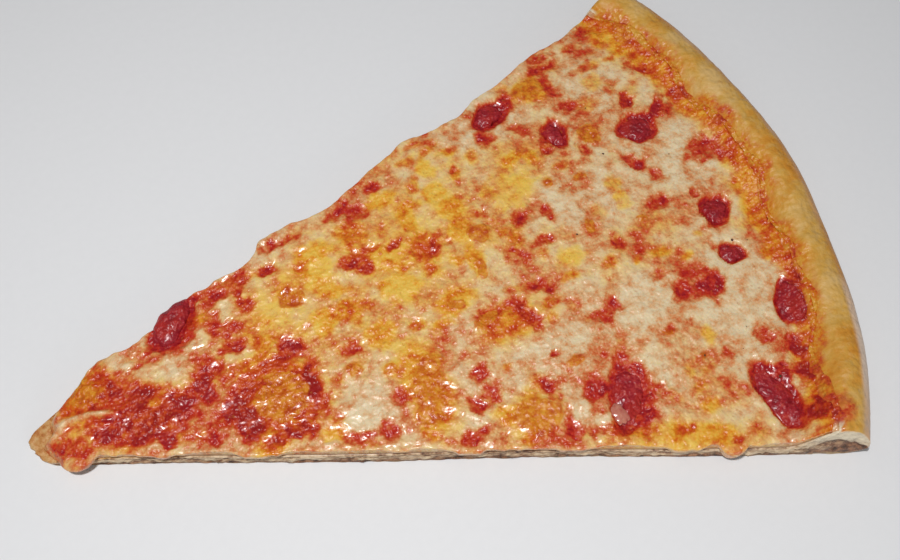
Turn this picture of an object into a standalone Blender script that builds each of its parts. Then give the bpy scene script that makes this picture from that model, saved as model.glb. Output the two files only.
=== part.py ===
"""Cheese pizza slice.

A wedge of a large, thin pizza lying flat: a crust with a raised outer rim, a thin layer of tomato sauce,
a layer of melted cheese that runs over the near cut in two places, and pieces of crushed tomato that
show through openings in the cheese.

Lengths are in metres. The slice is laid out in polar terms about the pie's centre: a radius, and a turn
that runs from -1 at the near cut to 1 at the far cut. +X points from the tip to the rim, +Z is up.
"""
from math import asin, atan2, cos, exp, hypot, pi, radians, sin

import bmesh
import bpy
from mathutils import Matrix, Vector

MM = 0.001

# The wedge
HALF_WEDGE = radians(20.2)
RIM_RADIUS = 250.3 * MM
RIM_PULLED_IN = 9.8 * MM  # how much nearer the pie's centre the rim is at the near cut
RIM_FURTHEST_TURN = 0.12
RIM_WAVE = 0.4 * MM
TIP_RADIUS = 13.2 * MM
TIP_TORN_NEAR = 4.0 * MM
TIP_TORN_FAR = 13.0 * MM

# Heights
DOUGH_THICKNESS = 3.6 * MM
TIP_THICKNESS = 1.6 * MM
TIP_TAPER = 22 * MM
DOUGH_SWELL = 0.25 * MM
RIM_HEIGHT = 11.6 * MM
NEAR_CORNER_RISE = 2.4 * MM
RIM_LUMP = 0.6 * MM
RIM_EDGE_HEIGHT = 4.8 * MM  # where the rim reaches furthest out
RIM_EDGE_WALL = 1.0 * MM
SAUCE_THICKNESS = 0.8 * MM
CHEESE_THICKNESS = 2.0 * MM
CHEESE_SWELL = 0.22 * MM
SWELL_WAVES = ((5.1, 9.0, 0), (-8.0, 4.3, 1), (3.7, 3.9, 2), (-3.7, 3.9, 0), (13, -7.0, 0))  # mm along, mm across, phase
CHEESE_EDGE_THICKNESS = 0.8 * MM
GAP = 0.3 * MM

# Widths across the rim, inward from its outer edge
RIM_FOOT = 22 * MM
RIM_CREST = 8 * MM
RIM_UNDERCUT = 6 * MM
SAUCE_EDGE = 12.4 * MM
CHEESE_EDGE = 14.6 * MM
EDGE_WANDER = 1.1 * MM
CORNER_TONGUE = 2.6 * MM  # the topping runs further up the rim beside the near corner

# How far behind the tip each topping starts, and how the topping thins there
SAUCE_START = 5 * MM
CHEESE_START = 6.5 * MM
CHEESE_TAPER = 7 * MM

# The cuts
CUT_SLANT = 0.16
SAUCE_SET_BACK = 0.4 * MM
CHEESE_OVERHANG = 0.2 * MM
NEAR_CUT_OUT = 0.5 * MM
NEAR_CUT_WAVE = 0.25 * MM
FAR_CUT_WAVE = 0.3 * MM

# Where the ragged far cut bulges or falls in: radius, how far outward, half-width along the cut
FAR_CUT_BUMPS = (
    (39 * MM, 3.0 * MM, 7 * MM),
    (66 * MM, 2.0 * MM, 6 * MM),
    (71.5 * MM, 1.7 * MM, 3.5 * MM),
    (79 * MM, 1.4 * MM, 5 * MM),
    (97 * MM, 2.4 * MM, 4.5 * MM),
    (105 * MM, 0.8 * MM, 5 * MM),
    (120 * MM, -0.6 * MM, 9 * MM),
    (152 * MM, 0.8 * MM, 7 * MM),
    (170 * MM, -2.6 * MM, 9 * MM),
    (186 * MM, -0.9 * MM, 8 * MM),
    (199 * MM, -0.9 * MM, 4 * MM),
    (213 * MM, -2.3 * MM, 7 * MM),
    (224 * MM, -1.2 * MM, 5 * MM),
)

# The pale fold of cheese that runs back from the tip
FOLD_START = 21 * MM
FOLD_END = 39 * MM
FOLD_TURN = -0.07
FOLD_HEIGHT = 0.9 * MM
FOLD_WIDTH = 1.6 * MM

# Cheese that ran over the near cut: radius, half-length along the cut, height, thickness past the cut
DRIPS = (
    (26.5 * MM, 6.2 * MM, 6.3 * MM, 2.3 * MM),
    (203.5 * MM, 3.8 * MM, 6.6 * MM, 1.7 * MM),
)

# Crushed tomato: radius, turn, half-length, half-width, heading of the long axis, height above the sauce
TOMATO_PIECES = (
    (62.0 * MM, 0.880, 7.2 * MM, 4.5 * MM, radians(40), 4.0 * MM),
    (177.3 * MM, 0.870, 4.5 * MM, 4.0 * MM, radians(30), 3.2 * MM),
    (213.3 * MM, 0.420, 5.0 * MM, 4.5 * MM, radians(10), 2.6 * MM),
    (190.0 * MM, 0.580, 4.7 * MM, 2.7 * MM, radians(-70), 2.6 * MM),
    (220.5 * MM, -0.046, 4.6 * MM, 3.5 * MM, radians(55), 2.6 * MM),
    (218.8 * MM, -0.234, 3.6 * MM, 2.8 * MM, radians(-60), 2.5 * MM),
    (229.0 * MM, -0.479, 5.9 * MM, 3.7 * MM, radians(70), 2.3 * MM),
    (218.0 * MM, -0.818, 8.8 * MM, 4.4 * MM, radians(-82), 2.8 * MM),
    (177.0 * MM, -0.760, 8.0 * MM, 4.6 * MM, radians(72), 3.0 * MM),
)
TOMATO_CLEARANCE = 0.35 * MM
CUTTER_REACH = 20 * MM

# How finely each surface is divided
COLUMNS = 20
CRUST_LEVEL_ROWS = 16
SAUCE_LEVEL_ROWS = 16
CHEESE_LEVEL_ROWS = 40
SLOPE_ROWS = 6
OUTER_ROWS = 5
ROW_CROWDING = 1.5  # rows lie closer together towards the tip

# Colour, roughness
CRUST_LOOK = ((0.56, 0.29, 0.09, 1), 0.75)
SAUCE_LOOK = ((0.46, 0.05, 0.015, 1), 0.35)
CHEESE_LOOK = ((0.80, 0.47, 0.18, 1), 0.35)
TOMATO_LOOK = ((0.36, 0.012, 0.010, 1), 0.25)


def clamp(value):
    return min(max(value, 0.0), 1.0)


def ease(value):
    """0 to 1 with level ends."""
    value = clamp(value)
    return value * value * (3 - 2 * value)


def bell(distance, width):
    return exp(-(distance / width) ** 2)


# ---------------------------------------------------------------- the plan of the slice


def rim_radius(turn):
    """The rim's outer edge: a bowed arc, furthest out just past the middle."""
    bow = ((turn - RIM_FURTHEST_TURN) / (1 + RIM_FURTHEST_TURN)) ** 2
    return RIM_RADIUS - RIM_PULLED_IN * bow + RIM_WAVE * sin(9 * turn + 1)


def tip_radius(turn):
    """The torn tip: blunt, with its far corner torn off."""
    torn = TIP_TORN_FAR * turn**6 if turn > 0 else TIP_TORN_NEAR * turn * turn
    return TIP_RADIUS + torn


def cut_wander(radius, turn):
    """How far a cut strays outward: hardly at the near cut, more at the ragged far cut."""
    if turn < 0:
        return NEAR_CUT_OUT + NEAR_CUT_WAVE * sin(radius / (17 * MM) + 2)
    ragged = sum(outward * bell(radius - at, width) for at, outward, width in FAR_CUT_BUMPS)
    return ragged + FAR_CUT_WAVE * sin(radius / (3.9 * MM))


def place(radius, turn, outward):
    """The plan position of a radius and turn, moved outward across the nearer cut."""
    angle = turn * HALF_WEDGE
    side = 1 if turn > 0 else -1
    shift = (outward + cut_wander(radius, turn)) * abs(turn) ** 4 * side
    return radius * cos(angle) - shift * sin(angle), radius * sin(angle) + shift * cos(angle)


def polar(x, y):
    return hypot(x, y), atan2(y, x) / HALF_WEDGE


# ---------------------------------------------------------------- heights


def rim_height(turn):
    corner = NEAR_CORNER_RISE * ease((-turn - 0.55) / 0.45)
    return RIM_HEIGHT + corner + RIM_LUMP * sin(6 * turn + 0.5)


def dough_top(radius, turn):
    """The dough under the toppings: thin at the tip, level, then up the inner slope of the rim."""
    taper = ease((radius - tip_radius(turn)) / TIP_TAPER)
    swell = DOUGH_SWELL * sin(radius / (21 * MM)) * cos(3 * turn)
    level = TIP_THICKNESS + (DOUGH_THICKNESS + swell - TIP_THICKNESS) * taper
    climb = ease((radius - rim_radius(turn) + RIM_FOOT) / (RIM_FOOT - RIM_CREST))
    return level + (rim_height(turn) - level) * climb


def sauce_top(radius, turn):
    return dough_top(radius, turn) + GAP + SAUCE_THICKNESS


def cheese_swell(radius, turn):
    """Uneven melted cheese: the sum of the crossing waves."""
    x, y = place(radius, turn, 0)
    return CHEESE_SWELL * sum(sin(x / (along * MM) + y / (across * MM) + phase) for along, across, phase in SWELL_WAVES)


def fold_height(radius, turn):
    along = ease((radius - FOLD_START) / (4 * MM)) * ease((FOLD_END - radius) / (4 * MM))
    return FOLD_HEIGHT * along * bell((turn - FOLD_TURN) * HALF_WEDGE * radius, FOLD_WIDTH)


# ---------------------------------------------------------------- layers


def make_material(name, look):
    colour, roughness = look
    material = bpy.data.materials.new(name)
    material.use_nodes = True
    shader = material.node_tree.nodes["Principled BSDF"]
    shader.inputs["Base Color"].default_value = colour
    shader.inputs["Roughness"].default_value = roughness
    shader.inputs["Metallic"].default_value = 0.0
    return material


def make_object(name, shape, collection, material=None):
    """Turns a finished bmesh into an object."""
    bmesh.ops.recalc_face_normals(shape, faces=shape.faces[:])
    mesh = bpy.data.meshes.new(name)
    shape.to_mesh(mesh)
    shape.free()
    if material:
        mesh.materials.append(material)
        mesh.shade_smooth()
        mesh.set_sharp_from_angle(angle=radians(50))
    part = bpy.data.objects.new(name, mesh)
    collection.objects.link(part)
    return part


def make_layer(rows, top, bottom):
    """A closed layer: a grid of rows along the slice and columns across it, extruded once.
    `top` and `bottom` give a point for a row and a turn."""
    shape = bmesh.new()
    bmesh.ops.create_grid(shape, x_segments=rows, y_segments=COLUMNS, size=1.0)
    under = shape.verts[:]
    made = bmesh.ops.extrude_face_region(shape, geom=shape.faces[:], use_keep_orig=True)
    over = [item for item in made["geom"] if isinstance(item, bmesh.types.BMVert)]
    for vert in under:
        vert.co = bottom(round((vert.co.x + 1) / 2 * rows), vert.co.y)
    for vert in over:
        vert.co = top(round((vert.co.x + 1) / 2 * rows), vert.co.y)
    return shape


def row_radius(row, level_rows, first, foot, last):
    """The radius of a row: crowded towards the tip up to the foot of the rim, then even up the rim's slope."""
    if row <= level_rows:
        return first + (foot - first) * (row / level_rows) ** ROW_CROWDING
    return foot + (last - foot) * (row - level_rows) / SLOPE_ROWS


def crust_row(row, turn):
    """The radius of a row of the crust, and how far round the outer side of the rim it is."""
    rim = rim_radius(turn)
    crest_row = CRUST_LEVEL_ROWS + SLOPE_ROWS
    if row <= crest_row:
        return row_radius(row, CRUST_LEVEL_ROWS, tip_radius(turn), rim - RIM_FOOT, rim - RIM_CREST), 0.0
    round_side = (row - crest_row) / OUTER_ROWS * pi / 2
    return rim - RIM_CREST * (1 - sin(round_side)), round_side


def crust_top(row, turn):
    radius, round_side = crust_row(row, turn)
    height = dough_top(radius, turn)
    if round_side:
        crest = rim_height(turn)
        height = RIM_EDGE_HEIGHT + (crest - RIM_EDGE_HEIGHT) * cos(round_side)
    x, y = place(radius, turn, -CUT_SLANT * height)
    return x, y, height


def crust_bottom(row, turn):
    """Flat underneath, rounded up to the outer edge of the rim."""
    radius, _ = crust_row(row, turn)
    past = clamp((radius - rim_radius(turn) + RIM_UNDERCUT) / RIM_UNDERCUT)
    height = (RIM_EDGE_HEIGHT - RIM_EDGE_WALL) * (1 - cos(asin(past)))
    x, y = place(radius, turn, 0)
    return x, y, height


def make_crust():
    return make_layer(CRUST_LEVEL_ROWS + SLOPE_ROWS + OUTER_ROWS, crust_top, crust_bottom)


def topping_edge(turn, inward):
    """The outer edge of a topping on the inner slope of the rim."""
    tongue = CORNER_TONGUE * bell(turn + 0.93, 0.09)
    wander = EDGE_WANDER * (sin(11 * turn) + 0.6 * sin(23 * turn + 1))
    return rim_radius(turn) - inward + tongue + wander


def topping_row(row, level_rows, turn, start, inward):
    foot = rim_radius(turn) - RIM_FOOT
    return row_radius(row, level_rows, tip_radius(turn) + start, foot, topping_edge(turn, inward))


def make_sauce():
    def surface(row, turn, height):
        radius = topping_row(row, SAUCE_LEVEL_ROWS, turn, SAUCE_START, SAUCE_EDGE)
        x, y = place(radius, turn, -CUT_SLANT * dough_top(radius, turn) - SAUCE_SET_BACK)
        return x, y, dough_top(radius, turn) + height

    def top(row, turn):
        return surface(row, turn, GAP + SAUCE_THICKNESS)

    def bottom(row, turn):
        return surface(row, turn, GAP)

    return make_layer(SAUCE_LEVEL_ROWS + SLOPE_ROWS, top, bottom)


def cheese_thickness(radius, turn):
    """Uneven, and thinner towards the tip and where it ends on the rim."""
    first = tip_radius(turn) + CHEESE_START
    last = topping_edge(turn, CHEESE_EDGE)
    full = ease((radius - first) / CHEESE_TAPER) * ease((last - radius) / CHEESE_TAPER)
    thick = CHEESE_THICKNESS + cheese_swell(radius, turn) + fold_height(radius, turn)
    return CHEESE_EDGE_THICKNESS + (thick - CHEESE_EDGE_THICKNESS) * full


def cheese_overhang(radius, turn):
    """The cheese ends flush with a cut, and reaches past the near one where it ran over."""
    if turn > 0:
        return CHEESE_OVERHANG
    spills = [bell(radius - at, length) * past for at, length, _, past in DRIPS]
    return CHEESE_OVERHANG + max(spills)


def make_cheese():
    def surface(row, turn, height):
        radius = topping_row(row, CHEESE_LEVEL_ROWS, turn, CHEESE_START, CHEESE_EDGE)
        level = sauce_top(radius, turn) + GAP
        outward = cheese_overhang(radius, turn) - CUT_SLANT * level
        x, y = place(radius, turn, outward)
        return x, y, level + height * cheese_thickness(radius, turn)

    def top(row, turn):
        return surface(row, turn, 1)

    def bottom(row, turn):
        return surface(row, turn, 0)

    return make_layer(CHEESE_LEVEL_ROWS + SLOPE_ROWS, top, bottom)


def make_drip(radius, length, height, past):
    """A rounded tongue of cheese that hangs down the near cut to the surface below."""
    shape = bmesh.new()
    bmesh.ops.create_uvsphere(shape, u_segments=12, v_segments=8, radius=1)
    thickness = past / 2
    x, y = place(radius, -1, GAP + 0.1 * MM + thickness)
    turned = Matrix.Rotation(-HALF_WEDGE, 4, "Z")
    moved = Matrix.Translation((x, y, GAP + height / 2))
    bmesh.ops.transform(
        shape,
        matrix=moved @ turned @ Matrix.Diagonal((length, thickness, height / 2, 1)),
        verts=shape.verts[:],
    )
    return shape


# ---------------------------------------------------------------- crushed tomato


def ragged_outline(angle, seed):
    """How far out a tomato piece reaches in a direction, as a share of its size."""
    return 1 + 0.10 * sin(2 * angle + seed) + 0.07 * sin(3 * angle + 2 * seed) + 0.04 * sin(5 * angle)


def tomato_plan(u, v, piece, seed, clearance):
    """Carries a point of the unit disc to the plan of a tomato piece, grown by a clearance."""
    radius, turn, half_length, half_width, heading, _ = piece
    ragged = ragged_outline(atan2(v, u), seed)
    along = u * (half_length * ragged + clearance)
    across = v * (half_width * ragged + clearance)
    x, y = place(radius, turn, 0)
    return (
        x + along * cos(heading) - across * sin(heading),
        y + along * sin(heading) + across * cos(heading),
    )


def make_tomato(piece, seed):
    """A lump that is domed above and follows the sauce below."""
    height = piece[5]
    shape = bmesh.new()
    bmesh.ops.create_uvsphere(shape, u_segments=12, v_segments=8, radius=1)
    for vert in shape.verts:
        u, v, w = vert.co
        x, y = tomato_plan(u, v, piece, seed, 0)
        seat = sauce_top(*polar(x, y)) + TOMATO_CLEARANCE
        lumpy = 1 + 0.12 * sin(4 * u + seed) * cos(3 * v)
        vert.co = (x, y, seat + max(w, 0) * height * lumpy)
    return shape


def make_opening(piece, seed):
    """The opening in the cheese round a tomato piece."""
    shape = bmesh.new()
    bmesh.ops.create_cone(
        shape, cap_ends=True, segments=12, radius1=1, radius2=1, depth=CUTTER_REACH
    )
    for vert in shape.verts:
        u, v, _ = vert.co
        x, y = tomato_plan(u, v, piece, seed, TOMATO_CLEARANCE)
        vert.co.x, vert.co.y = x, y
        vert.co.z += CUTTER_REACH / 2
    return shape


# ---------------------------------------------------------------- assembly


def clear_scene():
    for item in list(bpy.data.objects):
        bpy.data.objects.remove(item, do_unlink=True)


def make_collection(name):
    collection = bpy.data.collections.new(name)
    bpy.context.scene.collection.children.link(collection)
    return collection


def combine(part, tool, operation):
    """Joins or cuts with a helper shape, which is kept as a wire guide."""
    tool.hide_render = True
    tool.display_type = "WIRE"
    step = part.modifiers.new(tool.name, "BOOLEAN")
    step.operation = operation
    step.object = tool
    step.solver = "EXACT"


def centre_over_origin(parts, holder):
    """Puts the middle of the whole slice's box over the origin."""
    graph = bpy.context.evaluated_depsgraph_get()
    corners = []
    for part in parts:
        solid = part.evaluated_get(graph)
        corners += [solid.matrix_world @ Vector(corner) for corner in solid.bound_box]
    for axis in (0, 1):
        places = [corner[axis] for corner in corners]
        holder.location[axis] = -(min(places) + max(places)) / 2


def main():
    clear_scene()
    slice_parts = make_collection("cheese_pizza_slice")
    helpers = make_collection("helpers")
    holder = bpy.data.objects.new("pie_centre", None)
    slice_parts.objects.link(holder)

    crust = make_object("crust", make_crust(), slice_parts, make_material("crust", CRUST_LOOK))
    sauce = make_object("sauce", make_sauce(), slice_parts, make_material("sauce", SAUCE_LOOK))
    cheese = make_object("cheese", make_cheese(), slice_parts, make_material("cheese", CHEESE_LOOK))
    parts = [crust, sauce, cheese]

    for number, drip in enumerate(DRIPS, 1):
        tool = make_object(f"drip_{number}", make_drip(*drip), helpers)
        combine(cheese, tool, "UNION")
        tool.parent = holder

    tomato = make_material("tomato", TOMATO_LOOK)
    for number, piece in enumerate(TOMATO_PIECES, 1):
        parts.append(make_object(f"tomato_piece_{number}", make_tomato(piece, number), slice_parts, tomato))
        tool = make_object(f"opening_{number}", make_opening(piece, number), helpers)
        combine(cheese, tool, "DIFFERENCE")
        tool.parent = holder

    for part in parts:
        part.parent = holder
    centre_over_origin(parts, holder)


main()
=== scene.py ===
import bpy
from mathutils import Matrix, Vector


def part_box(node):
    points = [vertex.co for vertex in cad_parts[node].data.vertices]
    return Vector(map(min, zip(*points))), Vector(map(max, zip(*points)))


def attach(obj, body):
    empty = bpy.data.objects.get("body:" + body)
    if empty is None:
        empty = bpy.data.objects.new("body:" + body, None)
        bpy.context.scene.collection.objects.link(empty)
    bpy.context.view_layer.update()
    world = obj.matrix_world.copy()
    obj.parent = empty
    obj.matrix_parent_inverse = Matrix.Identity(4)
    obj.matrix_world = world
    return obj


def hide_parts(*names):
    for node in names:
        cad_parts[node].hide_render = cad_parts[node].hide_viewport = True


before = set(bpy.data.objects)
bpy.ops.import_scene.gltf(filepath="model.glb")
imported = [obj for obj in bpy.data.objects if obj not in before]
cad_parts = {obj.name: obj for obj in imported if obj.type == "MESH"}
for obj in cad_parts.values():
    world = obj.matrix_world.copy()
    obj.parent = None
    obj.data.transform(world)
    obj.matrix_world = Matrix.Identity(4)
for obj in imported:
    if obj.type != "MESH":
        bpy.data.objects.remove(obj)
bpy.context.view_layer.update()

import bmesh
import bpy
import numpy as np
from bpy.props import FloatProperty, FloatVectorProperty, PointerProperty
from mathutils import Vector

bl_info = {
    "name": "Cheese Pizza Slice",
    "version": (1, 0, 0),
    "blender": (4, 5, 0),
    "location": "3D View > Sidebar > Pizza",
    "description": "Builds a slice of cheese pizza: crust, sauce, cheese, tomato and garnish",
    "category": "Add Mesh",
}

MM = 0.001

# The wedge, in metres and in turns from -1 at the near cut to 1 at the far cut
HALF_WEDGE = np.radians(20.2)
RIM_RADIUS = 250.3 * MM
RIM_PULLED_IN = 9.8 * MM
RIM_FURTHEST_TURN = 0.12
RIM_WAVE = 0.4 * MM
TIP_RADIUS = 13.2 * MM
TIP_TORN_NEAR = 4.0 * MM
TIP_TORN_FAR = 13.0 * MM
NEAR_CUT_OUT = 0.5 * MM
NEAR_CUT_WAVE = 0.25 * MM
FAR_CUT_WAVE = 0.3 * MM
CUT_SLANT = 0.16

# Where the ragged far cut bulges or falls in, in millimetres: radius, how far outward, half-width
FAR_CUT_BUMPS = (
    (39, 3.0, 7), (66, 2.0, 6), (71.5, 1.7, 3.5), (79, 1.4, 5), (97, 2.4, 4.5), (105, 0.8, 5),
    (120, -0.6, 9), (152, 0.8, 7), (170, -2.6, 9), (186, -0.9, 8), (199, -0.9, 4), (213, -2.3, 7),
    (224, -1.2, 5),
)

# Heights of the layers
DOUGH_THICKNESS = 3.6 * MM
TIP_THICKNESS = 1.6 * MM
TIP_TAPER = 22 * MM
DOUGH_SWELL = 0.25 * MM
RIM_HEIGHT = 11.6 * MM
NEAR_CORNER_RISE = 2.4 * MM
RIM_LUMP = 0.6 * MM
RIM_EDGE_HEIGHT = 4.8 * MM
RIM_FOOT = 22 * MM
RIM_CREST = 8 * MM
RIM_UNDERCUT = 6 * MM
SAUCE_THICKNESS = 0.8 * MM
GAP = 0.3 * MM
LAYER_GAP = 0.1 * MM

# Where the toppings start behind the tip and end below the rim's crest
SAUCE_START = 8.5 * MM
SAUCE_EDGE = 12.4 * MM
CHEESE_START = 6.5 * MM
NEAR_FLAP = 3.4 * MM
CHEESE_EDGE = 14.6 * MM
EDGE_WANDER = 1.1 * MM
CORNER_TONGUE = 2.6 * MM

# Cheese that ran over the near cut: radius, half-length, how far past the cut
DRIPS = ((26.8 * MM, 6.0 * MM, 2.6 * MM), (203.5 * MM, 4.4 * MM, 1.9 * MM))

# Crushed tomato, one piece to a node: radius, turn, half-length, half-width, heading, height
TOMATO_PIECES = (
    (62.0, 0.880, 7.2, 4.5, 40, 4.0),
    (177.3, 0.870, 4.5, 4.0, 30, 3.2),
    (213.3, 0.420, 5.0, 4.5, 10, 2.6),
    (190.0, 0.580, 4.7, 2.7, -70, 2.6),
    (220.5, -0.046, 4.6, 3.5, 55, 2.6),
    (218.8, -0.234, 3.6, 2.8, -60, 2.5),
    (229.0, -0.479, 5.9, 3.7, 70, 2.3),
    (218.0, -0.818, 8.8, 4.4, -82, 2.8),
    (177.0, -0.760, 8.0, 4.6, 72, 3.0),
)

# Patches of the cheese, in millimetres from the pie's centre along and across the slice:
# x, y, half-length, half-width, heading in degrees
CRIMSON_SPOTS = (
    (70, -14, 3, 6, 0), (36, -1, 5, 2.2, 0), (56, -5, 4, 3, 0), (213, -57, 2.6, 2.6, 0),
    (34.5, -6, 4.5, 2.4, 0), (63, -3, 3, 4.6, 0), (50, -14, 3.4, 2.2, -40), (72, -20, 3.6, 2.4, 10),
    (67, -12, 4.2, 1.8, 70), (90, -12, 4, 2.2, 80), (84, -25, 4, 2.6, -20), (88, 0, 2.8, 3, 0),
    (39, 5.5, 2.6, 2.2, 0), (172, -44, 4.4, 5.2, 0), (170, -54.5, 6.5, 2.2, 8), (163, -43, 3, 2.6, 0),
    (208.5, -25.5, 3, 4.4, 0), (221, -50.5, 1.8, 4, 0), (220, -58, 2.4, 2.8, 0), (218, -71, 5.6, 4.2, 0),
    (221, 36, 4.2, 1.6, 35), (186, 38.5, 3.2, 5, 10), (212.5, 42, 1.8, 2.4, 0), (205.5, 19, 2.4, 2.6, 0),
)
RED_SPOTS = (
    (71.5, -13, 2.8, 8, 0), (81, -3.5, 9, 2.2, 0), (91.5, -14, 2.6, 8, 0), (81, -24.5, 9, 2.2, 0),
    (81, -14, 12, 11, 0), (72.5, 26, 6, 2.4, 0), (219.8, -58.1, 3.4, 2.2, -40), (225, -65, 3, 4, 0),
    (231, -62, 2, 6, -20), (24.5, -6, 5, 3, -20), (41, -9, 6, 2.6, -20), (43, -4, 2.6, 2, 0),
    (40, 6.5, 4, 3.2, 20), (43, 3, 5, 2, -35), (44, -12, 4.4, 2, -25), (53, -10.5, 4, 2.8, 0),
    (58, -5.5, 5, 4, 10), (64, 2, 4, 3, 30), (62, -18, 3, 2.4, 0), (72, 23, 6.5, 2.6, 10),
    (77, 25.5, 4, 2.4, 20), (79.5, 23, 2.8, 3, 0), (80, 17, 2.6, 3, 0), (71, 17, 2, 2.6, 0),
    (73, 11.5, 3.4, 3, 0), (73, 6.5, 3.6, 2, 20), (78, -6.5, 6, 2.2, 0), (72, -11, 6, 2.6, 80),
    (85, -8, 4, 2.2, -15), (84, -19, 4, 3, 0), (93, 14.5, 2.8, 2.8, 0), (89, 26, 3, 1.8, 0),
    (92, 33, 4.2, 1.7, 10), (106, -33, 2.4, 3.2, 0), (97, -32.5, 4, 1.8, -10), (104, -6, 3.4, 2.4, 0),
    (112, -25.5, 2.2, 2.6, 0), (115, 20, 6.5, 2.4, 5), (117, 16.5, 3, 2.2, 0), (120, 35, 4.4, 2.8, -25),
    (113.5, 37.5, 4, 2.2, 35), (126, 41.5, 3, 1.8, 25), (126, 20, 2.6, 1.4, 0),
    (134, 15.5, 4.6, 4.4, -35), (130.5, -35, 1.8, 2.6, 0), (136.5, -34, 2.2, 3.6, 0),
    (135, -26.5, 2.6, 2.2, 0), (127, -43, 4.4, 1.7, -10), (143.5, -11, 3.6, 2.8, 10),
    (152, -11.5, 2.6, 3.6, 20), (155.5, -17, 2.2, 3.4, 25), (161.5, -7.5, 4.4, 2.2, -30),
    (157, -28.5, 1.3, 1.5, 0), (151, -37.5, 2.2, 4, 15), (157, -53, 4.6, 2, -20), (153, -50.5, 1.8, 3, 0),
    (164, -41.5, 4, 4, 0), (173, -37, 2.6, 3, 0), (176, -47, 1.6, 4.6, 0), (175, -53, 1.8, 3.2, 0),
    (171, -49, 7, 8.4, 20), (174.5, -22.5, 4.6, 2, -5), (178.5, -21, 2.2, 2.8, 0),
    (188.5, -4, 2.4, 3, 15), (203, -24, 7, 4.4, -10), (205, -20, 5, 2.4, -15), (214, -45, 3, 2.6, -40),
    (218, -49.5, 3.4, 1.9, 0), (222.5, -62, 2.4, 4.6, 0), (205, 4.5, 5.2, 2.5, 15), (216, 4, 1.4, 1.6, 0),
    (209.5, 14, 3, 2, -45), (203.5, 22.5, 1.8, 2.4, 0), (228, 17, 7.2, 5.2, 0), (233.5, 13, 3, 4.4, 0),
    (236.5, 23.5, 2.2, 2, 0), (227, 38.5, 6, 1.7, -22), (222.5, 51, 4.6, 1.6, -35),
    (195, 33.5, 1.9, 1.9, 0), (194, 46.5, 3.4, 2.2, -35), (191, 57, 2, 5, 5), (191, 63, 4, 2.4, 0),
    (193, 67.5, 3, 1.6, 10), (176, 55.5, 2, 4, 0), (170, 53, 6, 4.5, 20), (165, 44.5, 2.4, 2.8, 0),
    (175, 45.5, 2.2, 1.6, 0), (181, 35, 1.8, 2.8, 0), (192, 30, 3, 2, -45), (164, 14.5, 2.8, 2.4, 0),
    (173, 13, 1.6, 3.8, 10), (168, 5.5, 4, 1.9, 0), (159, 4.5, 2.6, 1.3, -45), (59, 19, 6.5, 7, 0),
    (210, 73, 2.4, 1.8, 0), (222.5, 35.5, 2.6, 2.2, 0), (231, -31, 4, 2.4, 55), (235.5, -26, 2.8, 2.6, 0),
    (192.5, -69.5, 1.5, 1.3, 0),
)
ORANGE_SPOTS = (
    (47, 14, 4, 1.9, 5), (33, 12, 5, 2.2, 30), (31, 8, 4.4, 3.4, 0), (50.5, -1, 2.6, 2, 0),
    (56, -16, 5, 2.4, -20), (79, 26.5, 7, 2.2, 4), (82, 4, 2.8, 2.4, 0), (97.5, 33.5, 3.4, 1.4, 5),
    (99, 24, 2, 3.6, 0), (108.5, 2, 2.2, 4, 0), (112.5, 4.5, 2.4, 1.4, 0), (103, -13, 3.4, 2.2, 0),
    (98, -13.5, 2, 1.5, 0), (94, -25, 1.7, 1.7, 0), (101, -35, 4.4, 1.4, -15), (122, 14.5, 2.2, 2, 0),
    (126, 12.5, 2.2, 1.4, 0), (114, 28.5, 2.4, 4.2, 0), (118, 28, 2.4, 3.6, 0), (123, -6.5, 2.2, 1.9, 0),
    (134, 8, 3, 2.4, 0), (137, 31, 2.8, 1.7, 0), (138.5, 37, 1.8, 3.4, -20), (147, -15, 8, 5, 0),
    (154, -6, 4.4, 1.2, -5), (163, -13.5, 3, 1.8, 0), (168, -16.5, 1.9, 2.4, 0), (171, -22, 2.2, 1.5, 0),
    (160.5, -18.5, 2, 1.5, 0), (161, -33, 3, 1.9, 0), (149, -34.5, 3.4, 2.4, 0), (176, -31, 1.8, 2.2, 0),
    (172, -33.5, 2.4, 1.4, 0), (182, -52, 2.2, 2, 0), (190, -46.5, 1.5, 2.4, 0), (190, -52, 2.2, 1.5, 0),
    (195.5, -48, 1.9, 1.4, 0), (180, -61.5, 3.4, 1.5, -15), (169, -58.5, 5, 1.5, -15),
    (189.5, -34, 2, 1.5, 0), (183, -8.5, 2.4, 1.7, 0), (146, 47, 4.6, 1.3, 30), (139, 46, 3, 1.6, 10),
    (152.5, 45, 3.2, 1.5, -10), (145, 51, 5, 1.2, 8), (159, 39.5, 1.8, 3.2, 0), (151.5, 36, 1.1, 4, 0),
    (183, 27, 3, 1.4, 0), (177, 22.5, 1.9, 1.8, 0), (187, 21.5, 2.6, 1.8, 0), (160.5, 8, 2, 2.4, 0),
    (182.5, 5, 2, 3.2, -15), (196, 35, 3.6, 4, 0), (208.5, 63.5, 3, 1.4, -15), (213.5, 58, 2.2, 1.1, 0),
    (210.5, 50, 2.2, 1.4, 0), (204, 67, 3.6, 1.4, 10), (222, -71, 3.2, 4, 0), (140, -49.5, 3, 1.7, -20),
    (150, -54, 3, 1.4, -20), (232.5, -23, 3, 2.2, 0), (166.5, 1, 1.8, 2, 0), (153, 20, 2.2, 1.6, 0),
    (157.5, 11.5, 1.8, 1.5, 0), (194, -17, 3, 1.6, 10), (205, 58, 5.4, 1.5, 0), (184, 18.5, 5.4, 2.2, 0),
    (209, 47.5, 1.6, 1.6, 0), (232, 2, 3.4, 2, 0),
)
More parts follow.
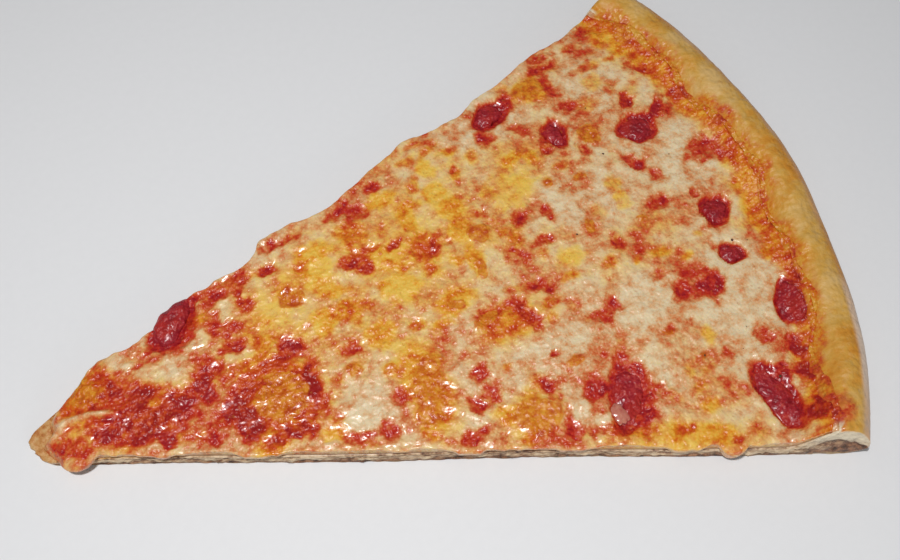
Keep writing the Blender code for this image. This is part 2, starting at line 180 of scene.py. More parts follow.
GOLD_SPOTS = (
    (82, -13, 6, 5.5, 0), (75, -26, 4, 1.8, -10), (104, 26, 4.4, 3.4, 0), (103, 5, 6.5, 2.8, 0),
    (105, 12, 4, 2.2, 0), (119, 8, 2.2, 2.2, 0), (133, 27, 2.4, 4, 0), (143.5, 32, 3.4, 3, 0),
    (146, 26, 3.4, 3.6, 0), (146, 17, 3.2, 3.4, 0), (136, -4, 6.4, 3.8, 0), (113.5, -5, 4, 4, 0),
    (112.5, -16.5, 2.2, 2.2, 0), (92, -28.5, 4.4, 2, -20), (116, -38, 2, 2, 0), (170, -8, 3.4, 1.5, 0),
    (143, -27, 1.2, 1, 0), (137, -41, 3.4, 2.6, 0), (188, -66, 4, 2.4, -20), (190, -58, 3, 2.2, 0),
    (200, -39.5, 1.6, 3, 0), (198.5, -10.5, 2.8, 1.5, 0), (205, -14.5, 2, 1.4, 0), (212, -9, 1.6, 1.1, 0),
    (170, 35, 3.4, 1.8, 10), (175.5, 33, 2.2, 2.2, 0), (195, 15, 2.4, 4.4, 0), (184, 57, 6.2, 5, 0),
    (200, 45, 4.4, 2.4, 0), (147, 6, 2.4, 5, 0), (142, 8, 2, 2, 0), (215, 68, 4, 5, 0),
    (205, 52, 4.4, 3.4, 0), (217, 62, 3, 3, 0), (32, 6, 4.4, 3, 0), (64, 18.5, 4.6, 2.2, -5),
    (131, -9.5, 3, 1.4, 0), (191.5, -10.5, 1.1, 1, 0), (227, -22, 2, 2, 0), (128, 36, 5, 2.6, 0),
    (187, 8, 3, 3, 0),
)
YELLOW_SPOTS = (
    (103, 18, 5, 6, 0), (124, 6, 5.4, 4.2, 0), (165, 25, 7, 6.4, 0), (173.5, -2.5, 4, 3, 0),
    (144, 41, 3, 3, 0), (196, 9, 3.4, 3, 0), (99, 3, 3, 3, 0),
)
BLISTERS = (
    (82, -13, 7.5, 7, 0), (120.5, -25.5, 4.8, 6.4, -12), (123.5, -18.5, 3.6, 2.2, 0),
    (118.5, -32.5, 4.4, 4, 0), (145, -44, 6.6, 5.8, 0), (136.5, -5, 2.4, 1.9, 0), (151, 14.5, 3.2, 3, 0),
    (93, 14.5, 3.8, 3.6, 0), (184.5, 57, 5.4, 4.2, 0), (103, -13, 2.2, 1.7, 0), (147.5, 3.5, 2, 3.4, 0),
    (196, 35, 3.2, 3.6, 0), (32, 7, 4, 3, 10), (112.5, -16.5, 1.7, 1.7, 0), (161, -33, 2.6, 1.6, 0),
    (187, 21.5, 2.2, 1.5, 0), (182.5, 4.5, 1.5, 2, 0), (190, -34, 1.7, 1.3, 0), (198, 2, 1.3, 1, 0),
    (177, 22.5, 1.6, 1.4, 0), (220.5, 76, 2, 2.4, 0), (222.5, 66, 4.2, 3.6, 0), (143, -12, 4, 2.2, 10),
    (195.5, -44, 1.1, 0.8, 0),
)
# Cream of thick cheese; several of these lie where the cheese shows white glints and a pale sheen, and
# there the cream is partly painted highlight
CREAM_AND_HIGHLIGHT_SPOTS = (
    (43, 12.5, 3.4, 2, 0), (50, 6, 5, 3, -35), (56.5, 2, 5, 3, -30), (65, 12, 1.9, 3.2, 0),
    (74, 17, 2, 3.4, 0), (75, 2.5, 5, 2, 0), (85, 23, 4.4, 3, 0), (85, 14, 4.4, 3.2, 0),
    (94, 9, 3.6, 1.7, 0), (97, -19, 4, 3, 0), (103, -27, 6.5, 4.4, 0), (115, -44.5, 6.5, 2.6, -20),
    (115, -12, 4.6, 2.2, 0), (126, -38, 6, 3.6, 0), (110, -1, 3, 3, 0), (128, 36, 5.4, 3, 0),
    (137, 24, 3.6, 3.2, 0), (165, -25, 5.4, 3, 0), (187, -24.5, 6.5, 5.4, 0), (175, -12.5, 6.5, 3, 0),
    (154, -26, 5, 3, 0), (146, -24, 5, 2.6, 0), (157, -45, 2.4, 6, 0), (160.5, -51.5, 3, 2.2, 0),
    (152, 4, 2.4, 5, 0), (168, 10.5, 3.2, 2, 0), (205, -7, 7, 4, -15), (212, -18, 2.4, 6.4, 20),
    (222, -27, 4.2, 6, 0), (213, -36, 7.5, 5.2, 0), (203, -35, 4.4, 5, 0), (216, -61, 2, 4, 0),
    (216, 19, 8, 4, 40), (223, 27, 7, 4, 30), (214, 12, 4, 5, 0), (203, 53.5, 6.4, 3.6, 0),
    (228, -6, 4, 5, 0), (178, 8, 4, 3.4, 0), (205, -68, 4, 4, 0), (183, -40, 4, 5, 0), (170, 27, 6, 3, 0),
    (196, 26, 3, 3, 0), (222, -12, 3, 6, 0), (206, -52, 5, 4, 0), (212, 56, 5, 4, 0),
)
# Broad washes over the cheese: x, y, half-length, half-width, heading, more oil, more cover
WASHES = (
    (112, 8, 34, 22, 0, 0.30, 0.05), (150, 28, 26, 14, 20, 0.25, 0.05), (81, -14, 12, 11, 0, 0.6, -0.18),
    (120, -25, 7, 13, 0, 0.6, -0.05), (145, -44, 8, 7, 0, 0.6, 0), (31, 8, 8, 6, 20, 0.5, -0.1),
    (176, -63, 22, 5, -20, 0.5, 0), (190, 57, 14, 10, 0, 0.0, 0.0), (217, 64, 8, 14, 20, 0.15, 0.05),
    (150, -16, 12, 8, 0, 0.4, 0), (85, 20, 14, 10, 10, 0.15, 0), (60, -6, 18, 10, 0, 0.2, -0.26),
    (38, -2, 16, 10, 0, 0.4, -0.28), (215, -30, 14, 18, 0, -0.45, 0.05),
    (216, 20, 12, 14, 30, -0.4, 0.05), (188, -25, 14, 9, 0, -0.4, 0.1),
    (165, -46, 14, 11, 0, -0.35, -0.15), (160, -25, 14, 6, 0, -0.3, 0), (203, 50, 10, 8, 0, -0.3, 0.1),
    (64, 14, 12, 10, 0, -0.1, -0.12), (104, -30, 7, 8, 0, -0.3, 0.05), (216, -58, 14, 12, 0, -0.2, -0.12),
    (228, 17, 8, 6, 0, -0.5, 0), (180, 15, 10, 8, 0, -0.3, 0), (168, 50, 14, 8, 0, -0.3, 0.0),
    (97, -34, 16, 4, 0, 0.1, -0.12),
)
# Red that reaches over the band of sauce onto the crust
BAND_REDS = (
    (219, -72.1, 4.9, 4.2, 0), (231, -58, 3, 2.2, 60), (233.5, 13, 2.6, 4.0, 0), (229, -66, 2.4, 3, 0),
)
SPECK_SPOTS = (
    (112.3, -10.6), (131, 36), (199, 43.6), (197, 26.2), (220, -14.5), (212.6, -57), (178, 3.6),
    (195.6, -44),
)

# Camera and lights, in metres from the pie's centre; KEY_OFFSET is from the camera
CAMERA_PLACE = Vector((93.9 * MM, -109.8 * MM, 265.6 * MM))
CAMERA_DOWN = np.radians(64.9)
CAMERA_TURN = np.radians(21.14)
CAMERA_LENS = 39.5
CAMERA_SENSOR = 36.0
KEY_OFFSET = Vector((-0.06, 0.05, 0.27))
KEY_SIZE = 0.045
FILL_PLACE = Vector((0.17, -0.42, 0.11))
FILL_SIZE = 0.25
FLOOR_HALF_WIDTH = 2.0
FLOOR_DROP = 0.15 * MM


# ---------------------------------------------------------------- whole-array arithmetic


def ease(value):
    """0 to 1 with level ends: 3t^2 - 2t^3, with t held between 0 and 1."""
    value = np.clip(value, 0.0, 1.0)
    return value * value * (3 - 2 * value)


def bell(distance, width):
    """exp(-(d/w)^2)."""
    return np.exp(-((distance / width) ** 2))


def blend(a, b, share):
    return a + (b - a) * share


LATTICE = 97
MERGE_DISTANCE = 0.002 * MM


def soft_noise(u, v, seed):
    """Noise from -1 to 1 with features one unit wide: random numbers on a square lattice, joined by
    ease()."""
    table = np.random.default_rng(seed).uniform(-1, 1, (LATTICE, LATTICE))
    i, j = np.floor(u).astype(int), np.floor(v).astype(int)
    s, t = ease(u - i), ease(v - j)
    i0, i1, j0, j1 = i % LATTICE, (i + 1) % LATTICE, j % LATTICE, (j + 1) % LATTICE
    low = blend(table[i0, j0], table[i1, j0], s)
    high = blend(table[i0, j1], table[i1, j1], s)
    return blend(low, high, t)


def cloud(x, y, size, seed, layers=3):
    """Layered noise: each layer half as wide and half as strong as the one before, the lattice turned
    each time."""
    total, strength = 0.0, 0.0
    for layer in range(layers):
        angle, scale, share = 0.7 + 1.1 * layer, size / 2**layer, 0.5**layer
        u = (x * np.cos(angle) - y * np.sin(angle)) / scale
        v = (x * np.sin(angle) + y * np.cos(angle)) / scale
        total = total + share * soft_noise(u + 11.3 * layer, v + 7.7, seed + layer)
        strength += share
    return total / strength


def warp(x, y, size, amount, seed):
    """The plan points, each moved by noise up to an amount."""
    return x + amount * cloud(x, y, size, seed), y + amount * cloud(x, y, size, seed + 50)


def oval_reach(x, y, oval):
    """How far out each point is in an oval: 0 at its middle, 1 on its edge."""
    px, py, length, width, heading = oval[:5]
    c, s = np.cos(np.radians(heading)), np.sin(np.radians(heading))
    dx, dy = x - px * MM, y - py * MM
    return np.hypot((dx * c + dy * s) / (length * MM), (dy * c - dx * s) / (width * MM))


def spots(x, y, ovals, softness=0.35, rough=0.3, seed=1):
    """How far each point lies inside a list of ovals: 1 well inside one, 0 outside. The points are moved
    by noise first, and the reach gets noise of its own, so that the edges are ragged."""
    sx, sy = warp(x, y, 5 * MM, 1.3 * MM, seed)
    sx, sy = warp(sx, sy, 1.7 * MM, 0.6 * MM, seed + 5)
    ragged = rough * cloud(x, y, 2.4 * MM, seed + 9, 3)
    found = np.zeros_like(x)
    for oval in ovals:
        reach = oval_reach(sx, sy, oval) + ragged
        found = np.maximum(found, ease((1 + softness - reach) / (2 * softness)))
    return found


# ---------------------------------------------------------------- the plan and the heights


def rim_radius(turn):
    """The rim's outer edge, a bowed arc: R - p((t - t0)/(1 + t0))^2, with a slight wave."""
    bow = ((turn - RIM_FURTHEST_TURN) / (1 + RIM_FURTHEST_TURN)) ** 2
    return RIM_RADIUS - RIM_PULLED_IN * bow + RIM_WAVE * np.sin(9 * turn + 1)


def tip_radius(turn):
    """The torn tip, blunt, with its far corner torn off."""
    return TIP_RADIUS + np.where(turn > 0, TIP_TORN_FAR * turn**6, TIP_TORN_NEAR * turn**2)


def cut_wander(radius, turn):
    """How far each cut strays outward along the radius."""
    near = NEAR_CUT_OUT + NEAR_CUT_WAVE * np.sin(radius / (17 * MM) + 2)
    far = FAR_CUT_WAVE * np.sin(radius / (3.9 * MM))
    for at, outward, width in FAR_CUT_BUMPS:
        far = far + outward * MM * bell(radius - at * MM, width * MM)
    return np.where(turn < 0, near, far)


def place(radius, turn, outward):
    """Plan position of a radius and turn about the pie's centre, moved outward by shift * t^4 across the
    nearer cut."""
    angle = turn * HALF_WEDGE
    shift = (outward + cut_wander(radius, turn)) * turn**4 * np.sign(turn)
    return radius * np.cos(angle) - shift * np.sin(angle), radius * np.sin(angle) + shift * np.cos(angle)


def rim_height(turn):
    corner = NEAR_CORNER_RISE * ease((-turn - 0.55) / 0.45)
    return RIM_HEIGHT + corner + RIM_LUMP * np.sin(6 * turn + 0.5)


def dough_top(radius, turn):
    """The dough under the toppings: thin at the tip, level, then up the inner slope of the rim."""
    taper = ease((radius - tip_radius(turn)) / TIP_TAPER)
    swell = DOUGH_SWELL * np.sin(radius / (21 * MM)) * np.cos(3 * turn)
    level = TIP_THICKNESS + (DOUGH_THICKNESS + swell - TIP_THICKNESS) * taper
    climb = ease((radius - rim_radius(turn) + RIM_FOOT) / (RIM_FOOT - RIM_CREST))
    return level + (rim_height(turn) - level) * climb


def sauce_top(radius, turn):
    return dough_top(radius, turn) + GAP + SAUCE_THICKNESS


def topping_edge(turn, inward):
    """The outer edge of a topping on the inner slope of the rim, with a tongue by the near corner."""
    tongue = CORNER_TONGUE * bell(turn + 0.93, 0.09)
    wander = EDGE_WANDER * (np.sin(11 * turn) + 0.6 * np.sin(23 * turn + 1))
    return rim_radius(turn) - inward + tongue + wander


def find_pie_centre():
    """The pie's centre in the frame: the crust's box less the same box worked out about the centre."""
    low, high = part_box("crust")
    turn = np.linspace(-1, 1, 401)
    x, y = place(rim_radius(turn), turn, 0.0)
    return np.array([high.x - x.max(), low.y - y.min()])


PIE_CENTRE = find_pie_centre()


def polar(x, y):
    return np.hypot(x, y), np.arctan2(y, x) / HALF_WEDGE


def cheese_fields(x, y):
    """What the cheese is like at each point of the plan. cover is 0 where sauce shows and 1 where cheese
    is thick; oil is how far orange oil stains it; brown is browned blisters. Each starts as noise, and
    the spots pull it. Towards the rim the cheese thins out and the oil takes over."""
    radius, turn = polar(x, y)
    fine = cloud(x, y, 3.4 * MM, 31, 3)
    cover, wash_oil = 0.66 + 0.30 * cloud(x, y, 9 * MM, 21) + 0.30 * fine, 0.0
    for wash in WASHES:
        amount = ease(1.5 - oval_reach(*warp(x, y, 8 * MM, 2.5 * MM, 171), wash))
        cover, wash_oil = cover + wash[6] * amount, wash_oil + wash[5] * amount
    # Pulled to cream at the cream spots: thick cheese, and in places a painted highlight where glints and
    # sheen lie
    cover = blend(cover, 0.92 + 0.22 * fine, 0.85 * spots(x, y, CREAM_AND_HIGHLIGHT_SPOTS, 0.45, 0.3, 131))
    gold, yellow = spots(x, y, GOLD_SPOTS, 0.5, 0.45, 181), spots(x, y, YELLOW_SPOTS, 0.45, 0.4, 185)
    cover = blend(blend(cover, 0.62 + 0.2 * fine, 0.6 * gold), 0.84 + 0.34 * fine, 0.9 * yellow)
    cover = blend(cover, 0.46 + 0.24 * fine, 0.9 * spots(x, y, ORANGE_SPOTS, 0.5, 0.45, 141))
    cover = blend(cover, 0.20 + 0.22 * fine, 0.92 * spots(x, y, RED_SPOTS, 0.5, 0.5, 151))
    cover = blend(cover, 0.04 + 0.12 * fine, spots(x, y, CRIMSON_SPOTS, 0.45, 0.5, 161))
    oil = 0.25 + 0.34 * cloud(x, y, 15 * MM, 51) + 0.22 * cloud(x, y, 5 * MM, 54, 3) + wash_oil
    oil = oil + 0.6 * gold + 0.5 * yellow + 0.25 * spots(x, y, ORANGE_SPOTS, 0.5, 0.3, 141)
    edge = topping_edge(turn, CHEESE_EDGE) + 3.4 * MM * cloud(x, y, 7 * MM, 191) - radius
    rim_side = ease(1 - edge / (9 * MM))
    oil = oil + 0.9 * rim_side
    cover = blend(cover, np.minimum(cover, 0.40 + 0.22 * fine), 0.95 * ease(1.15 - edge / (6 * MM)))
    brown = spots(x, y, BLISTERS, 0.22, 0.22, 201)
    return {"cover": np.clip(cover, 0, 1), "oil": np.clip(oil, 0, 1), "brown": brown}


# ---------------------------------------------------------------- meshes


def finish_piece(name, mesh, material, nodes=()):
    """Makes a mesh a piece that rides on the frame."""
    mesh.materials.append(material)
    mesh.shade_smooth()
    piece = bpy.data.objects.new(name, mesh)
    bpy.context.scene.collection.objects.link(piece)
    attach(piece, "root")
    if nodes:
        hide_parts(*nodes)
    return piece


def ring_faces(rings, around):
    """Quads between neighbouring closed rings."""
    i, j = np.meshgrid(np.arange(rings - 1), np.arange(around), indexing="ij")
    k = (j + 1) % around
    quads = np.stack([i * around + j, (i + 1) * around + j, (i + 1) * around + k, i * around + k], -1)
    return quads.reshape(-1, 4)


def end_faces(start, columns, turn):
    """Triangles that close an end ring, given its points' turns. They zip the points of its first stretch
    to those of the way back, each to the nearest in turn; both stretches begin and end at the same two
    points."""
    back = -np.arange(len(turn) - columns + 2) % len(turn)
    first = np.arange(columns - 1)
    match = np.searchsorted((turn[back][1:] + turn[back][:-1]) / 2, (turn[first] + turn[first + 1]) / 2)
    across = np.stack([first, first + 1, back[match]], -1)
    step = np.arange(len(back) - 1)
    behind = np.stack([back[step + 1], np.searchsorted(match, step, side="right"), back[step]], -1)
    faces = np.concatenate([across, behind])
    whole = (faces[:, 0] != faces[:, 2]) & (faces[:, 1] != faces[:, 2]) & (faces[:, 0] != faces[:, 1])
    return faces[whole] + start


def closed_mesh(name, x, y, z, fields, columns=0, turn=None):
    """A closed skin from closed rings of points in the plan's own axes. With columns and a ring's turns
    given, its ends are closed by triangles; otherwise an end ring's points meet in pairs and merge."""
    rings, around = x.shape
    points = np.stack([x + PIE_CENTRE[0], y + PIE_CENTRE[1], z], -1).reshape(-1, 3)
    faces = ring_faces(rings, around).tolist()
    if columns:
        faces += end_faces(0, columns, turn).tolist()
        faces += end_faces((rings - 1) * around, columns, turn).tolist()
    mesh = bpy.data.meshes.new(name)
    mesh.from_pydata(points, [], faces)
    for field, values in fields.items():
        layer = mesh.attributes.new(field, "FLOAT", "POINT")
        layer.data.foreach_set("value", np.ascontiguousarray(values, np.float32).ravel())
    close_and_orient(mesh)
    return mesh


def close_and_orient(mesh):
    """Merges the points that lie on each other, and turns the faces outwards."""
    shape = bmesh.new()
    shape.from_mesh(mesh)
    bmesh.ops.remove_doubles(shape, verts=shape.verts[:], dist=MERGE_DISTANCE)
    bmesh.ops.recalc_face_normals(shape, faces=shape.faces[:])
    shape.to_mesh(mesh)
    shape.free()


def around_section(columns, side_levels, under_columns):
    """One trip round a cross-section: over the top from the near cut to the far one, down the far side,
    back underneath, and up the near side. Gives the turn, the height share, and which stretch each point
    is on."""
    top = np.linspace(-1, 1, columns)
    under = np.linspace(1, -1, under_columns)
    down = np.arange(1, side_levels) / side_levels
    turn = np.concatenate([top, np.ones(side_levels - 1), under, -np.ones(side_levels - 1)])
    share = np.concatenate([np.ones(columns), 1 - down, np.zeros(under_columns), down])
    on_side = np.ones(side_levels - 1)
    side = np.concatenate([np.zeros(columns), on_side, np.zeros(under_columns), on_side])
    return turn, share, side


# ---------------------------------------------------------------- crust

CRUST_COLUMNS = 150
CRUST_LEVELS = 13
CRUST_LEVEL_ROWS = 205
CRUST_SLOPE_ROWS = 24
CRUST_OUTER_ROWS = 20
TIP_ROUND_ROWS = 5
CRUMB_DEPTH = 0.6 * MM
SLIT_DEPTH = 1.0 * MM
SLIT_START = 224 * MM
RIM_BUBBLES = (
    (244, 25, 2.6, 2, 0.5), (241, 18, 3, 2.2, 0.55), (242, -9, 3, 2, 0.45), (238, 47, 2.6, 2, 0.4),
    (243, 3, 2.4, 2.8, 0.35), (233, 62, 3, 2.4, 0.4), (239, -24, 2.6, 3, 0.4), (231, -51, 2.4, 3, 0.45),
    (233, -38, 3, 2.4, 0.35), (227, -64, 2.6, 2.6, 0.4), (240, 33, 2, 2.2, 0.35), (229, 75, 2.4, 2, 0.4),
)


def crust_rows(turn):
    """For each row and turn, the radius, and the angle round the rim's outer side and round the tip's
    edge, whose outline is torn by noise and rounded at its corners."""
    torn = 0.9 * MM * cloud(turn * 10 * MM, 0 * turn, 2.4 * MM, 79, 3) + 2.4 * MM * turn**10
    tip, rim = (tip_radius(turn) + torn)[None, :], rim_radius(turn)[None, :]
    tip_round = np.linspace(0, np.pi / 2, TIP_ROUND_ROWS, endpoint=False)[:, None]
    tip_part = tip + 0.8 * MM * (1 - np.cos(tip_round))
    level = np.linspace(0, 1, CRUST_LEVEL_ROWS, endpoint=False)[:, None]
    level_part = blend(tip + 0.8 * MM, rim - RIM_FOOT, level)
    slope = np.linspace(0, 1, CRUST_SLOPE_ROWS, endpoint=False)[:, None]
    slope_part = rim - RIM_FOOT + (RIM_FOOT - RIM_CREST) * slope
    outer = np.linspace(0, np.pi / 2, CRUST_OUTER_ROWS)[:, None]
    outer_part = rim - RIM_CREST * (1 - np.sin(outer))
    radius = np.concatenate([tip_part, level_part, slope_part, outer_part])
    flat = np.zeros((CRUST_LEVEL_ROWS + CRUST_SLOPE_ROWS, 1))
    outer_angle = np.concatenate([np.zeros((TIP_ROUND_ROWS, 1)), flat, outer])
    tip_share = np.concatenate([np.sin(tip_round), flat + 1, outer * 0 + 1])
    return radius, outer_angle + 0 * radius, tip_share + 0 * radius


def rim_relief(x, y, radius, turn):
    """Lumps, blisters and wrinkles of the bare rim: layered noise, raised ovals, and creases that run
    across the rim where a stretched noise passes through 0."""
    relief = 0.6 * MM * cloud(x, y, 11 * MM, 61) + 0.34 * MM * cloud(x, y, 4.2 * MM, 64, 3)
    crease = np.abs(cloud(radius, turn * 90 * MM, 4.2 * MM, 67, 3))
    relief = relief - 0.3 * MM * (1 - ease(crease / 0.12))
    for px, py, length, width, height in RIM_BUBBLES:
        reach = np.hypot((x - px * MM) / (length * MM), (y - py * MM) / (width * MM))
        relief = relief + height * MM * ease(1.25 - reach)
    bare = ease((radius - topping_edge(turn, SAUCE_EDGE)) / (3 * MM))
    tip_bare = ease((tip_radius(turn) + SAUCE_START - radius) / (2 * MM))
    return relief * bare + 0.4 * tip_bare * (relief + 0.5 * MM * cloud(x, y, 3 * MM, 71))


def make_crust_mesh():
    """Rings round the slice's cross-section, from the tip to the rim. The top follows the dough, the
    slope and a quarter ellipse over the rim's outer side; the underside is flat and rounds up under the
    rim; the cut sides are ruled between them and roughened into fibrous crumb, with a slit open beside
    the near corner. The crumb's colour field is made darker where the crumb is sunk deeper and in the
    slit: painted shade in the pits and the slit, over the crumb's own fibrous tone."""
    turn, share, side = around_section(CRUST_COLUMNS, CRUST_LEVELS, CRUST_COLUMNS)
    radius, outer, tip_share = crust_rows(turn)
    turn, share, side = (row[None, :] + 0 * radius for row in (turn, share, side))
    plan_x, plan_y = place(radius, turn, 0.0)
    crest = rim_height(turn)
    over_rim = RIM_EDGE_HEIGHT + (crest - RIM_EDGE_HEIGHT) * np.cos(outer)
    top = np.where(outer > 0, over_rim, dough_top(radius, turn))
    top = top + rim_relief(plan_x, plan_y, radius, turn) * np.maximum(np.cos(outer), 0) ** 0.5
    past = np.clip((radius - rim_radius(turn) + RIM_UNDERCUT) / RIM_UNDERCUT, 0, 1)
    bottom = RIM_EDGE_HEIGHT * (1 - np.sqrt(1 - past**2))
    top = blend(0.45 * TIP_THICKNESS, top, tip_share)
    bottom = blend(0.45 * TIP_THICKNESS, bottom, tip_share)
    z = blend(bottom, top, share)

    slit_line = 0.42 + 0.08 * np.sin(radius / (5 * MM))
    slit = bell(share - slit_line, 0.10) * ease((radius - SLIT_START) / (5 * MM)) * side * (turn < 0)
    crumb_in = np.sin(np.pi * share) ** 0.5 * side * tip_share * np.cos(outer)
    fibres = cloud(radius, 3.4 * z, 3.2 * MM, 73, 3) + 0.8 * cloud(radius, 2.4 * z, 1.1 * MM, 76, 2)
    outward = -CUT_SLANT * z * np.cos(outer) - crumb_in * (
        CRUMB_DEPTH * (0.1 + fibres) + SLIT_DEPTH * slit
    )
    at_foot = (share < 0.3) * (np.abs(turn) > 0.99)
    ragged_foot = 0.25 * MM * cloud(radius, turn * 9 * MM, 2.4 * MM, 78, 3) * at_foot
    x, y = place(radius, turn, outward + ragged_foot * tip_share * np.cos(outer))
    x, y = x + 0 * z, y + 0 * z

    corner_red = spots(x, y, BAND_REDS[:1], 0.2, 0.2, 211)
    stain = topping_edge(turn, SAUCE_EDGE) + 3.2 * MM + 3.4 * MM * cloud(x, y, 5 * MM, 81, 4) - radius
    covered = ease((np.abs(turn) - 0.955) / 0.03) * (radius < topping_edge(turn, SAUCE_EDGE))
    on_rim_side = (share > 0.99) * ease((radius - 120 * MM) / (30 * MM))
    fields = {
        "cut": np.maximum(side, covered),
        "height": share,
        "rise": z / (12 * MM),
        "outer": ease(outer / (np.pi / 2)),
        "under": (share == 0) * 1.0,
        "floury": np.clip(1.1 * bell(turn + 0.68, 0.24) + 0.5 * cloud(x, y, 9 * MM, 83, 3), 0, 1),
        "oil": np.maximum(ease(stain / (3.6 * MM)), corner_red) * on_rim_side,
        "red": spots(x, y, BAND_REDS, 0.2, 0.2, 211),
        "tip": ease(1.6 - (radius - tip_radius(turn)) / (9 * MM)),
        # Crumb tone, darker where the cut is sunk deeper and in the slit: painted shade in the pits and
        # the slit
        "crumb_tone_and_pit_shade": np.clip(0.45 + 0.6 * fibres + 1.2 * slit, 0, 1),
    }
    return closed_mesh("crust_skin", x, y, z, fields)


# ---------------------------------------------------------------- sauce

SAUCE_COLUMNS = 230
SAUCE_LEVELS = 5
SAUCE_UNDER_COLUMNS = 40
SAUCE_LEVEL_ROWS = 90
SAUCE_EDGE_ROWS = 40
SAUCE_EDGE_BAND = 14 * MM


def cheese_front(turn):
    """Where the cheese starts: nearer the tip on the side of the near cut, where a flap of it lies."""
    return CHEESE_START - NEAR_FLAP * ease((0.15 - turn) / 0.5)


def rows_to_edge(turn, start, inward, level_rows, edge_rows, band):
    """Radii from behind the tip to a topping's outer edge, closer together in the last band, and their
    distances from the nearer end."""
    first, last = (tip_radius(turn) + start)[None, :], topping_edge(turn, inward)[None, :]
    level = np.linspace(0, 1, level_rows, endpoint=False)[:, None]
    edge = np.linspace(0, 1, edge_rows)[:, None]
    rows = np.concatenate([blend(first, last - band, level), blend(last - band, last, edge)])
    distance = np.minimum(rows - first, last - rows)
    return rows, distance


def make_sauce_mesh():
    """A thin skin that follows the dough and feathers out at its ends: height h(1 - (1 - d/e)^2) within e
    of an edge. Its bare band along the rim is lumpy and wet."""
    turn, share, side = around_section(SAUCE_COLUMNS, SAUCE_LEVELS, SAUCE_UNDER_COLUMNS)
    radius, distance = rows_to_edge(
        turn, SAUCE_START, SAUCE_EDGE, SAUCE_LEVEL_ROWS, SAUCE_EDGE_ROWS, SAUCE_EDGE_BAND
    )
    turn, share, side = (row[None, :] + 0 * radius for row in (turn, share, side))
    x, y = place(radius, turn, 0.0)
    bare = ease((radius - topping_edge(turn, CHEESE_EDGE) + 2.5 * MM) / (2.5 * MM))
    lumps = 0.22 * cloud(x, y, 3.2 * MM, 91, 3) + 0.10 * cloud(x, y, 1.2 * MM, 94, 2)
    feather = 1 - (1 - np.clip(distance / (4.5 * MM), 0, 1)) ** 2
    thick = (GAP - LAYER_GAP + SAUCE_THICKNESS + lumps * MM * bare) * feather
    buried = 0.35 * MM * ease(1 - distance / (3 * MM)) * (share < 0.01)
    z = dough_top(radius, turn) + LAYER_GAP * feather - buried + share * np.maximum(thick, 0.05 * MM)
    ragged_end = topping_edge(turn, SAUCE_EDGE) - radius + 1.5 * MM * cloud(x, y, 4 * MM, 97, 3)
    z = z - 0.6 * MM * ease((1.3 * MM - ragged_end) / (1.2 * MM)) * ease((radius - 120 * MM) / (20 * MM))
    bulge = 0.25 * MM * np.sin(np.pi * share) * side
    x, y = place(radius, turn, bulge - CUT_SLANT * z - 0.6 * MM)
    red = np.maximum(spots(x, y, BAND_REDS, 0.2, 0.2, 211), 0.9 * spots(x, y, RED_SPOTS, 0.5, 0.5, 151))
    fields = {"bare": bare, "red": red, "edge": np.maximum(side, ease((np.abs(turn) - 0.96) / 0.03))}
    return closed_mesh("sauce_skin", x, y, z, fields, SAUCE_COLUMNS, turn[0])


# ---------------------------------------------------------------- cheese

CHEESE_COLUMNS = 206
CHEESE_LEVELS = 13
CHEESE_UNDER_COLUMNS = 36
CHEESE_LEVEL_ROWS = 310
CHEESE_EDGE_ROWS = 30
CHEESE_THICKNESS = 2.1 * MM
CHEESE_EDGE_BAND = 16 * MM
FOLD_HEIGHT = 0.8
FOLD_WIDTH = 1.1 * MM
DOME_HEIGHT = 0.4
FOLD_LINE = ((21.6, -0.5), (24.7, 1.3), (29, 1.2), (33.3, 0.4), (40, -1.6))


def along_line(x, y, line):
    """The distance from each point to a bent line, and how far along the line the nearest place is."""
    nearest, share = np.full_like(x, 1.0), np.zeros_like(x)
    count = len(line) - 1
    for step in range(count):
        a, b = np.array(line[step]) * MM, np.array(line[step + 1]) * MM
        t = np.clip(((x - a[0]) * (b - a)[0] + (y - a[1]) * (b - a)[1]) / ((b - a) @ (b - a)), 0, 1)
        d = np.hypot(x - a[0] - t * (b - a)[0], y - a[1] - t * (b - a)[1])
        share = np.where(d < nearest, (step + t) / count, share)
        nearest = np.minimum(nearest, d)
    return nearest, share


def tomato_reach(x, y):
    """How far out each point is from the nearest tomato piece: 1 on its edge."""
    nearest = np.full_like(x, 9.0)
    for number, piece in enumerate(TOMATO_PIECES, 1):
        u, v = tomato_disc(x, y, piece)
        nearest = np.minimum(nearest, np.hypot(u, v) / ragged_outline(np.arctan2(v, u), number))
    return nearest


def drip_amount(radius):
    """For each radius along the near cut, how far down the cheese hangs, from 0 to 1, and its reach past
    the cut."""
    hang, past = np.zeros_like(radius), np.zeros_like(radius)
    for at, length, reach in DRIPS:
        share = np.clip(1 - ((radius - at) / length) ** 2, 0, 1) ** 0.9
        hang = np.maximum(hang, share)
        past = np.maximum(past, reach * ease(share))
    return hang, past


def cheese_height(x, y, fields):
    """How thick the cheese lies: thin over bare sauce, thick where cover is high, with lumps, fine
    wrinkles on the browned and thin parts, domes at the blisters, and the fold by the tip."""
    near_fold, fold_share = along_line(x, y, FOLD_LINE)
    fold = bell(near_fold, FOLD_WIDTH) * ease(4 * fold_share + 0.3) * ease(4 * (1 - fold_share) + 0.2)
    lumps = 0.30 * cloud(x, y, 7 * MM, 101, 2) + 0.30 * cloud(x, y, 3.0 * MM, 104, 2)
    lumps = lumps + 0.20 * cloud(x, y, 1.5 * MM, 107, 2)
    thin = 1 - fields["cover"]
    ridges = 1 - 3 * np.abs(cloud(x, y, 2.0 * MM, 111, 2))
    wrinkles = 0.11 * ridges * ease(1.2 * fields["brown"] + 0.6 * thin)
    dome = DOME_HEIGHT * fields["brown"] * (1 - 0.5 * fields["brown"])
    filled = 0.72 + 0.34 * ease((fields["cover"] - 0.05) / 0.8)
    return CHEESE_THICKNESS * filled + MM * (lumps + wrinkles + dome + FOLD_HEIGHT * fold)


